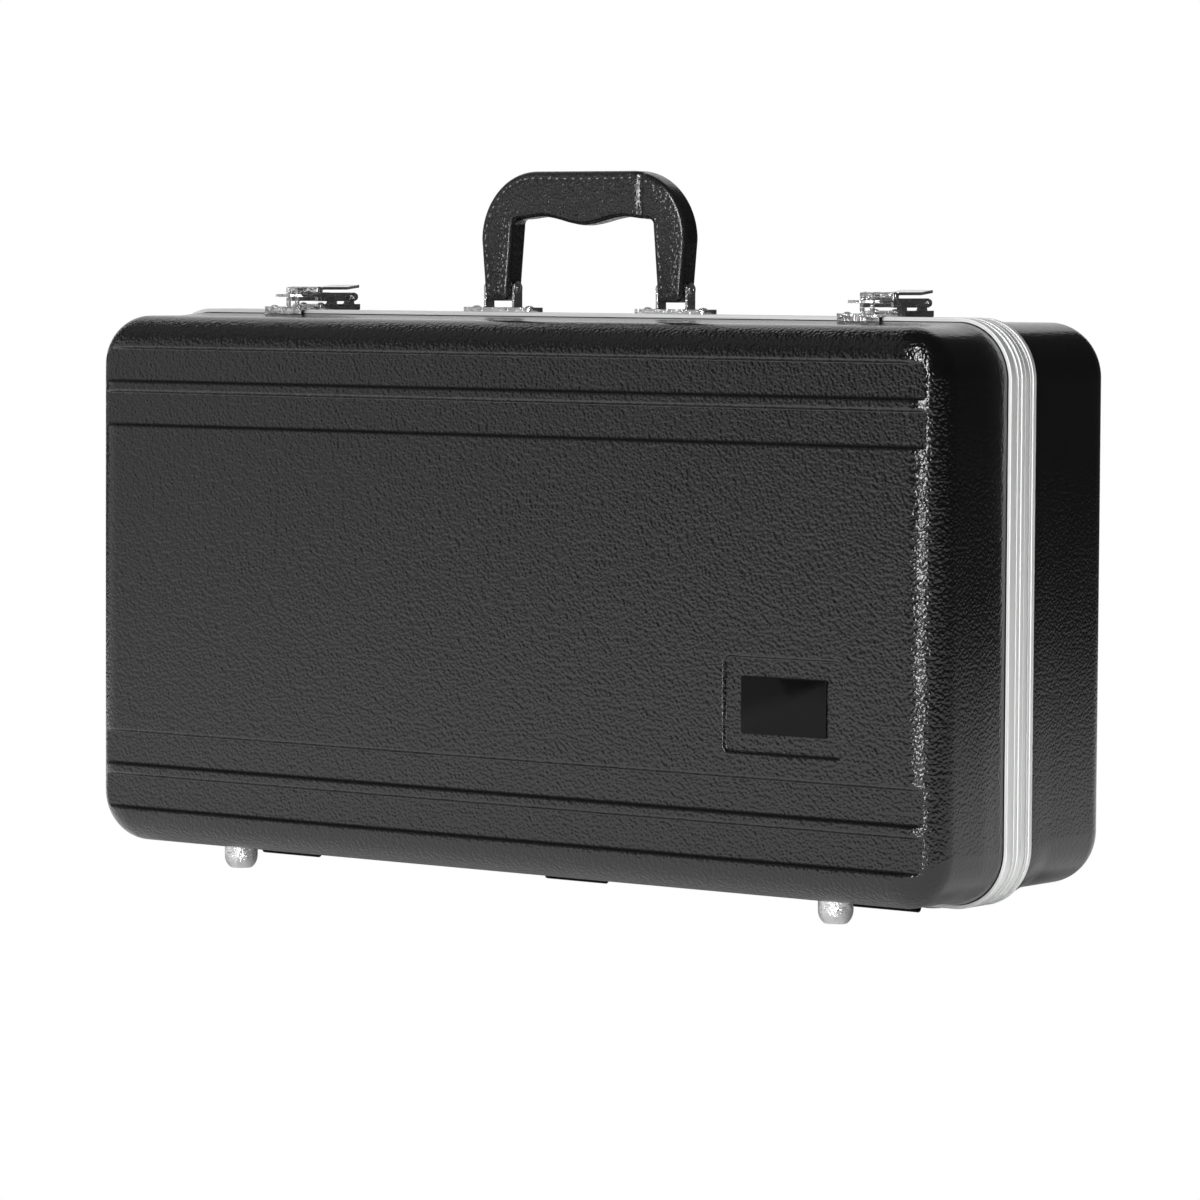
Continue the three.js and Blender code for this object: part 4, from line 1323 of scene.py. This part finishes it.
@dataclass(frozen=True)
class Handle:
    """The padded, stitched carrying handle.

    Places along the case count from its middle, and heights from the top of the valance.
    """

    middle_y: float = 1.9
    thick: float = 14.0
    rounding: float = 3.2
    half: float = 65.6
    top: float = 72.2
    corner: float = 35.0
    foot_outer: float = 63.1
    foot_inner: float = 47.7
    foot_corner: float = 4.2
    foot_thinning: float = 0.45
    inner_x: float = 44.8
    bottom: float = 5.7
    opening_corner: float = 3.2
    grip_end: float = 47.7
    grip_peak: float = 49.0
    grip_peak_x: float = 25.5
    grip_bump: float = 44.6
    crown: float = 0.2
    crown_gain: float = 1.4
    seam_inset: float = 3.9
    seam_deep: float = 0.3
    seam_wide: float = 0.7
    lap_x: float = 37.2
    lap_deep: float = 1.7
    lap_rise: float = 3.2
    lap_fall: float = 1.6
    lap_edge: float = 0.6
    lap_reach: float = 4.0
    stitch_pitch: float = 5.1
    stitch_long: float = 1.5
    stitch_radius: float = 0.42
    stitch_proud: float = 0.12
    stitch_from: float = 3.5
    stitch_clear: float = 1.0
    stitch_blunt: float = 0.7
    stitch_tip: float = 0.02
    stitch_rings: int = 7
    stitch_sides: int = 8
    foot_steps: int = 8
    leg_steps: int = 16
    bend_steps: int = 40
    grip_points: int = 90

    def _rails(self) -> tuple[np.ndarray, np.ndarray, np.ndarray]:
        """Draws the outer and inner edges of the arch from the left foot to the right one.

        Returns:
            Rows of x, z for the outer edge and for the inner edge, and how far each pair is
            past the end of a foot.
        """
        shoulder = self.top - self.corner
        shoulder_x = self.half - self.corner
        open_x = self.inner_x - self.opening_corner
        open_z = self.grip_end - self.opening_corner
        start = self.bottom + self.foot_corner
        pairs = []
        for turn in quarter(self.foot_steps):
            z = self.bottom + self.foot_corner * (1 - math.cos(turn))
            pairs.append(((self.foot_outer, z), (self.foot_inner, z)))
        for k in range(1, self.leg_steps + 1):
            share = k / self.leg_steps
            outer = blend((self.foot_outer, start), (self.half, shoulder), share)
            inner = blend((self.foot_inner, start), (self.inner_x, open_z), share)
            pairs.append((outer, inner))
        for turn in quarter(self.bend_steps)[1:]:
            way = np.array((math.cos(turn), math.sin(turn)))
            outer = (shoulder_x, shoulder) + self.corner * way
            pairs.append((outer, (open_x, open_z) + self.opening_corner * way))
        for share in np.linspace(1, 0, self.grip_points)[1:]:
            inner = (open_x * share, self._grip_low(open_x * share))
            pairs.append(((shoulder_x * share, self.top), inner))
        right = np.array(pairs)
        whole = np.concatenate((right[:-1] * (-1.0, 1.0), right[::-1]))
        return whole[:, 0], whole[:, 1], whole[:, 0, 1] - self.bottom

    def _grip_low(self, x: float) -> float:
        """Follows the grip's underside, which bulges in the middle and peaks beside the bulge.

        Args:
            x: place along the case.

        Returns:
            Its height over the valance.
        """
        middle = (self.grip_bump + self.grip_peak) / 2
        knots = (
            (0.0, self.grip_bump),
            (self.grip_peak_x / 2, middle),
            (self.grip_peak_x, self.grip_peak),
            (self.inner_x - self.opening_corner, self.grip_end),
        )
        for k, ((start, low), (end, high)) in enumerate(zip(knots, knots[1:])):
            share = (abs(x) - start) / (end - start)
            if share <= 1 + 1e-9:
                left = 1 - share
                bends = ((share**2 + share) / 2, 1 - (left**2 + left) / 2, eased(share))
                return low + (high - low) * bends[k]
        return self.grip_end

    def _half_thick(self, edge: float, width: float) -> float:
        """Works out half the handle's thickness.

        Args:
            edge: distance from the nearer edge.
            width: width of the arch there.

        Returns:
            The half thickness, with the crown and the seam.
        """
        over = edge - self.seam_inset
        flat = self.thick / 2 - self.crown
        crown = self.crown * eased(over / max(width / 2 - self.seam_inset, 1e-6) * self.crown_gain)
        seam = self.seam_deep * math.exp(-((over / self.seam_wide) ** 2))
        return flat - self.rounding + rise(edge, self.rounding) + crown - seam

    def _lap(self, x: float) -> float:
        """Works out the crease where the cover's end laps over.

        Args:
            x: place along the case.

        Returns:
            Its depth there, which grows slowly up to the lap's edge and fades past it.
        """
        away = x - self.lap_x - self.lap_edge
        if away < 0:
            return self.lap_deep * eased(away / self.lap_rise + 1)
        return self.lap_deep * math.exp(-away / self.lap_fall)

    @staticmethod
    def _shares() -> list[float]:
        """Places across the arch from its outer edge to its inner one, denser at the edges."""
        near = [0.0, 0.004, 0.016, 0.04, 0.07, 0.105, 0.14, 0.165, 0.19, 0.22, 0.26, 0.33, 0.42]
        return near + [0.5] + [1 - share for share in near[::-1]]

    def _section(self, outer: np.ndarray, inner: np.ndarray, past: float) -> np.ndarray:
        """Draws the arch's section between two facing points of its edges.

        Args:
            outer: the point of the outer edge.
            inner: the point of the inner edge.
            past: how far they are past the end of a foot.

        Returns:
            Rows of x, y, z, over the front face inwards and over the back face outwards.
        """
        width = math.dist(outer, inner)
        squeeze = self.foot_corner - rise(past, self.foot_corner)
        middle = (outer + inner) / 2
        across = (inner - outer) * (1 - 2 * squeeze / width)
        kept = 1 - self.foot_thinning * squeeze / self.foot_corner
        shares = self._shares()
        points = []
        for face, order in ((-1, shares), (1, shares[::-1])):
            for share in order:
                x, z = middle + across * (share - 0.5)
                half = self._half_thick(min(share, 1 - share) * width, width) * kept
                if face < 0 and z > self.grip_end - self.lap_reach:
                    half -= self._lap(x)
                points.append((x, self.middle_y + face * half, z + VALANCE_TOP))
        return np.array(points)

    def build(self) -> bpy.types.Object:
        """Models the handle.

        Returns:
            The padded arch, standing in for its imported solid.
        """
        outer, inner, past = self._rails()
        skin = Skin()
        rings = [skin.put(self._section(*places)) for places in zip(outer, inner, past)]
        skin.belts(rings)
        skin.face(rings[0], flip=True)
        skin.face(rings[-1])
        piece = skin.piece("handle_padded_arch", Finishes.leather, "handle")
        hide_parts("handle_arch")
        self._stitches(outer, inner, past)
        return piece

    def _stitches(self, outer: np.ndarray, inner: np.ndarray, past: np.ndarray) -> None:
        """Sews both faces of the arch along its edges.

        Args:
            outer: outer edge of the arch.
            inner: its inner edge.
            past: how far each pair is past the end of a foot.
        """
        skin = Skin()
        inward = (inner - outer) / np.hypot(*(inner - outer).T)[:, None] * self.seam_inset
        level = self.thick / 2 - self.crown - self.seam_deep + self.stitch_proud
        under_grip = self.grip_end - self.stitch_clear
        for line, sewn_to in ((outer + inward, math.inf), (inner - inward, under_grip)):
            along = np.concatenate(([0.0], np.cumsum(np.hypot(*np.diff(line, axis=0).T))))
            count = int(along[-1] / self.stitch_pitch)
            for n in range(count):
                centre = (n + 0.5) * along[-1] / count
                x, z, far = (np.interp(centre, along, row) for row in (*line.T, past))
                if far < self.stitch_from or z > sewn_to:
                    continue
                next_x, next_z = (np.interp(centre + 0.5, along, row) for row in line.T)
                angle = math.atan2(next_z - z, next_x - x)
                for face in (-1, 1):
                    place = np.array((x, self.middle_y + face * level, z + VALANCE_TOP))
                    self._stitch(skin, place, angle)
        skin.piece("handle_stitching", Finishes.thread, "handle")

    def _stitch(self, skin: Skin, place: np.ndarray, angle: float) -> None:
        """Adds one stitch, a small bead drawn out along the seam.

        Args:
            skin: what the stitch is added to.
            place: its middle.
            angle: the way that the seam goes there.
        """
        cos, sin = math.cos(angle), math.sin(angle)
        last = self.stitch_rings - 1
        rings = []
        for i in range(self.stitch_rings):
            turn = math.pi * i / last
            along = -math.cos(turn) * self.stitch_long / 2
            radius = self.stitch_tip
            if 0 < i < last:
                radius = math.sin(turn) ** self.stitch_blunt * self.stitch_radius
            points = []
            for j in range(self.stitch_sides):
                spin = 2 * math.pi * j / self.stitch_sides
                up = radius * math.cos(spin)
                y = radius * math.sin(spin)
                points.append((along * cos - up * sin, y, along * sin + up * cos))
            rings.append(skin.put(np.array(points) + place))
        skin.belts(rings)


# Linings


@dataclass(frozen=True)
class Nest:
    """The fitted foam nest in the base, under plush."""

    voxel: float = 2.6
    smoothing: int = 8
    share: float = 0.6

    def build(self) -> bpy.types.Object:
        """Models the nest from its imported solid, with soft edges.

        Returns:
            The plush nest.
        """
        piece = new_object("plush_nest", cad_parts["base_nest"].data.copy())
        remesh = piece.modifiers.new("remesh", "REMESH")
        remesh.mode = "VOXEL"
        remesh.voxel_size = self.voxel * MM
        smooth = piece.modifiers.new("smooth", "SMOOTH")
        smooth.factor = self.share
        smooth.iterations = self.smoothing
        graph = bpy.context.evaluated_depsgraph_get()
        result = bpy.data.meshes.new_from_object(piece.evaluated_get(graph))
        result.name = piece.name
        piece.modifiers.clear()
        piece.data = result
        result.shade_smooth()
        settle(piece, Finishes.plush, "base")
        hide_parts("base_nest")
        return piece


@dataclass(frozen=True)
class LidPad:
    """The crowned pad in the lid, with a sewn channel round its field.

    Under it, rings draw in by the first number of each pair, at the second from its back.
    """

    outline: Outline = Outline(260.8, 134.0, 27.0)
    back: float = 70.0
    thick: float = 17.0
    edge: float = 7.5
    crown: float = 3.5
    crown_reach: float = 70.0
    channel: float = 34.0
    channel_deep: float = 3.2
    channel_wide: float = 2.6
    waves: float = 0.35
    wave_x: float = 23.0
    wave_z: float = 19.0
    wave_reach: float = 30.0
    under: tuple[tuple[float, float], ...] = ((1.6, 4.5), (4.0, 2.6), (7.0, 1.0), (10.0, 0.0))
    edge_steps: int = 10
    flat_step: float = 5.0
    channel_step: float = 1.0
    channel_reach: float = 6.0
    closest: float = 0.8
    sharp: float = 60.0

    def _lines(self, half: float) -> list[float]:
        """Grid lines in one direction.

        Args:
            half: half the pad's size in that direction.

        Returns:
            All lines, denser at the edges and over the channel.
        """
        reach = 2 * self.edge
        flat = lines_between(0.0, half - reach - 1.0, self.flat_step)
        channel = half - self.channel
        low, high = channel - self.channel_reach, channel + self.channel_reach
        inner = thinned(flat + lines_between(low, high, self.channel_step), self.closest)
        kept = [line for line in inner if line < half - reach - self.closest / 2]
        kept += [half - reach * (1 - math.sin(turn)) for turn in quarter(self.edge_steps)]
        return thinned([-line for line in kept] + kept, 1e-4)

    def build(self) -> bpy.types.Object:
        """Models the pad.

        Returns:
            The pad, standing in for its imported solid.
        """
        half_x, half_z = self.outline.half_x, self.outline.half_z
        lines_x = self._lines(half_x)
        x, z, inside = self.outline.spread(lines_x, self._lines(half_z))
        reach = 2 * self.edge
        level = self.thick - self.crown - self.edge * (1 - rise(inside, reach) / reach)
        level += self.crown * eased(inside / self.crown_reach)
        level -= self.channel_deep * np.exp(-(((inside - self.channel) / self.channel_wide) ** 2))
        wave = np.sin(x / self.wave_x) * np.sin(z / self.wave_z)
        level += self.waves * wave * eased(inside / self.wave_reach)
        y = SPLIT_Y - self.back + np.minimum(level, self.thick - 0.05)
        skin = Skin()
        points = np.column_stack((x.ravel(), y.ravel(), z.ravel() + MIDDLE_Z))
        edge = skin.grid(points, len(lines_x), flip=True)
        rings: list[Sequence[int]] = [edge]
        for inset, short_of in self.under:
            near_x = points[edge, 0] * (1 - inset / half_x)
            near_z = MIDDLE_Z + (points[edge, 2] - MIDDLE_Z) * (1 - inset / half_z)
            level_y = np.full(len(edge), SPLIT_Y - self.back + short_of)
            rings.append(skin.put(np.column_stack((near_x, level_y, near_z))))
        skin.belts(rings, flip=True)
        skin.face(rings[-1])
        piece = skin.piece("plush_lid_pad", Finishes.plush, "lid", self.sharp)
        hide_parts("lid_pad")
        return piece


# Metal pieces


@dataclass(frozen=True)
class Hardware:
    """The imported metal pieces, with broken edges and their finishes."""

    edge: float = 0.22
    fine_edge: float = 0.12
    segments: int = 2
    weld: float = 0.004
    edge_angle: float = 38.0

    @cache
    def _tidied(self) -> bpy.types.NodeTree:
        """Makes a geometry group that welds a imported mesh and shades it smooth.

        Returns:
            The group, made on first use.
        """
        tree = bpy.data.node_groups.new("tidied_solid", "GeometryNodeTree")
        for way in ("INPUT", "OUTPUT"):
            tree.interface.new_socket(name="Geometry", in_out=way, socket_type="NodeSocketGeometry")
        graph = Graph(tree)
        solid = graph.add("NodeGroupInput").outputs[0]
        changes = (
            ("GeometryNodeRemoveAttribute", {"Name": "custom_normal"}),
            ("GeometryNodeMergeByDistance", {"Distance": self.weld * MM}),
            ("GeometryNodeSetShadeSmooth", {}),
        )
        for kind, inputs in changes:
            solid = graph.add(kind, {"Geometry": solid, **inputs}).outputs["Geometry"]
        graph.add("NodeGroupOutput", {0: solid})
        return tree

    def dress(self) -> None:
        """Gives each packed metal piece its finish and its edges."""
        for name, node in sorted(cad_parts.items()):
            finish, wide = self._choice(name)
            if finish is None:
                continue
            paint(node, finish)
            tidy = node.modifiers.new("tidied", "NODES")
            tidy.node_group = self._tidied()
            bevel = node.modifiers.new("broken_edges", "BEVEL")
            bevel.width = wide * MM
            bevel.segments = self.segments
            bevel.limit_method = "ANGLE"
            bevel.angle_limit = math.radians(self.edge_angle)
            weigh_normals(node)
            log.info("%s dressed as %s", name, finish.name)

    def _choice(self, name: str) -> tuple[Finish | None, float]:
        """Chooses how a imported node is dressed.

        Args:
            name: the node's name.

        Returns:
            Its finish and edge width, or no finish for what is replaced.
        """
        if name.startswith("hinge"):
            return Finishes.hinge, self.fine_edge
        if "spring" in name:
            return Finishes.spring, self.fine_edge
        if name.startswith(("latch", "handle_bracket", "handle_pin")):
            small = "rivet" in name or name.endswith("pin") or name.startswith("handle_pin")
            return Finishes.chrome, self.fine_edge if small else self.edge
        return None, 0.0


# Studio


@dataclass(frozen=True)
class Panel:
    """A soft rectangular light that looks at the case; its strength is its radiance."""

    name: str
    place: tuple[float, float, float]
    target: tuple[float, float, float]
    wide: float
    tall: float
    strength: float
    mirrored: bool = True

    def build(self) -> None:
        """Adds the light, which reflections show if it is mirrored."""
        light = bpy.data.lights.new(self.name, "AREA")
        light.shape = "RECTANGLE"
        light.size = self.wide
        light.size_y = self.tall
        light.energy = self.strength * math.pi * self.wide * self.tall
        lamp = new_object(self.name, light)
        lamp.location = self.place
        look = Vector(self.target) - Vector(self.place)
        lamp.rotation_euler = look.to_track_quat("-Z", "Y").to_euler()
        lamp.visible_camera = False
        lamp.visible_glossy = self.mirrored


@dataclass(frozen=True)
class Studio:
    """Camera, floor and lights, in metres."""

    focal_pixels: float = 5430.55
    frame_pixels: float = 1200.0
    sensor: float = 36.0
    clip_start: float = 0.05
    yaw: float = 0.649
    pitch: float = 0.0619
    roll: float = 0.0057
    distance: float = 2.7786
    target: tuple[float, float, float] = (0.0, -0.0075, 0.15115)
    target_pixel: tuple[float, float] = (575.55, 592.86)
    backdrop: float = 1.0
    fill: float = 0.05
    floor_radius: float = 2.6
    floor_level: float = -0.0004
    floor_steps: int = 96
    floor_glow: float = 0.1
    fade_from: float = 0.6
    fade_to: float = 2.4
    panels: tuple[Panel, ...] = (
        Panel("front_strip", (0.82, -2.36, 1.3), (0.0, 0.0, 0.3), 0.3, 3.0, 40.0),
        Panel("left_panel", (-2.2, -1.4, 0.5), (0.0, 0.0, 0.2), 3.0, 1.3, 0.8),
        Panel("left_upper_panel", (-2.0, -1.1, 2.4), (0.0, 0.0, 0.2), 3.2, 1.8, 0.28),
        Panel("back_panel", (-1.9, 2.3, 1.6), (0.0, 0.0, 0.2), 3.2, 3.4, 0.9),
        Panel("floor_light", (-0.2, -0.9, 3.0), (0.0, -0.2, 0.0), 2.6, 2.6, 3.6, False),
    )

    def build(self) -> None:
        """Sets the studio up."""
        self._camera()
        self._world()
        self._floor()
        for panel in self.panels:
            panel.build()
        bpy.context.scene.view_settings.view_transform = "Standard"

    def _camera(self) -> None:
        """Places the camera where the photograph was taken from."""
        cos, sin = math.cos(self.yaw), math.sin(self.yaw)
        ahead = math.cos(self.pitch)
        forward = Vector((-sin * ahead, cos * ahead, -math.sin(self.pitch)))
        level = Vector((cos, sin, 0.0))
        upright = level.cross(forward)
        right = level * math.cos(self.roll) + upright * math.sin(self.roll)
        up = upright * math.cos(self.roll) - level * math.sin(self.roll)
        metres_per_pixel = self.distance / self.focal_pixels
        shift = [(pixel - self.frame_pixels / 2) * metres_per_pixel for pixel in self.target_pixel]
        place = Vector(self.target) - forward * self.distance - right * shift[0] + up * shift[1]
        data = bpy.data.cameras.new("photo_camera")
        data.sensor_width = self.sensor
        data.lens = self.focal_pixels / self.frame_pixels * self.sensor
        data.clip_start = self.clip_start
        camera = new_object("photo_camera", data)
        turn = Matrix((right, up, -forward)).transposed().to_4x4()
        camera.matrix_world = Matrix.Translation(place) @ turn
        bpy.context.scene.camera = camera

    def _world(self) -> None:
        """White behind the case, and dim light from where no panel stands."""
        world = bpy.data.worlds.new("studio_world")
        world.use_nodes = True
        bpy.context.scene.world = world
        world.node_tree.nodes.clear()
        graph = Graph(world.node_tree)
        inputs = {0: graph.add("ShaderNodeLightPath").outputs["Is Camera Ray"]}
        for place, strength in ((1, self.fill), (2, self.backdrop)):
            white = {"Color": (1.0, 1.0, 1.0, 1.0), "Strength": strength}
            inputs[place] = graph.add("ShaderNodeBackground", white).outputs[0]
        mix = graph.add("ShaderNodeMixShader", inputs)
        graph.add("ShaderNodeOutputWorld", {"Surface": mix.outputs[0]})

    def _floor(self) -> None:
        """A pale floor that lights the case from below and shows in what shines.

        It is as white as the backdrop, so camera rays pass it, and so does direct light. The lid
        then shows where it swings below the floor's level.
        """
        mesh = bpy.data.meshes.new("studio_floor")
        points = []
        for turn in np.linspace(0, 2 * math.pi, self.floor_steps, endpoint=False):
            x, y = self.floor_radius * math.cos(turn), self.floor_radius * math.sin(turn)
            points.append((x, y, self.floor_level))
        mesh.from_pydata(points, [], [tuple(range(self.floor_steps))])
        surface = Surface("pale_floor")
        place = surface.add("ShaderNodeTexCoord").outputs["Object"]
        length = surface.add("ShaderNodeVectorMath", {0: place}, operation="LENGTH")
        fade = surface.spread(length.outputs["Value"], self.fade_from, self.fade_to, 1.0, 0.0)
        rays = surface.add("ShaderNodeLightPath").outputs
        direct = surface.maths("MAXIMUM", rays["Is Camera Ray"], rays["Is Shadow Ray"])
        shown = surface.maths("MULTIPLY", fade, surface.maths("SUBTRACT", 1.0, direct))
        material = surface.close(
            Base_Color=(0.9, 0.9, 0.9, 1.0),
            Roughness=0.9,
            Specular_IOR_Level=0.1,
            Emission_Color=(1.0, 1.0, 1.0, 1.0),
            Emission_Strength=self.floor_glow,
            Alpha=shown,
        )
        mesh.materials.append(material)
        new_object("studio_floor", mesh)


def main() -> None:
    """Builds the case in order."""
    logging.basicConfig(level=logging.INFO, format="%(name)s: %(message)s")
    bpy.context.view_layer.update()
    Studio().build()
    lid_body = Outline(268.8, 139.2, 26.4)
    base_body = Outline(267.4, 138.9, 27.2)
    Shell(Side.LID, depth=73.5, body=lid_body, middle=151.4, rounding=17.0, padded=True).build()
    Shell(Side.BASE, depth=83.5, body=base_body, middle=152.7, rounding=15.5).build()
    lid_bars = ((2.6, 0.0), (1.0, 1.1), (2.0, 0.4), (3.0, 1.1), (3.6, 0.0))
    base_bars = ((2.9, 0.0), (2.0, 1.1), (1.2, 0.4), (0.8, 1.1), (2.6, 0.0))
    Valance(Side.LID, lid_bars).build()
    Valance(Side.BASE, base_bars).build()
    BadgePlate().build()
    for side, y in ((Side.LID, -47.5), (Side.BASE, 37.5)):
        for label, x in (("left", -191.0), ("right", 191.0)):
            Foot(f"{side.body}_foot_{label}", side, x, y).build()
    Handle().build()
    Nest().build()
    LidPad().build()
    Hardware().dress()
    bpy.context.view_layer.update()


if __name__ == "__main__":
    main()
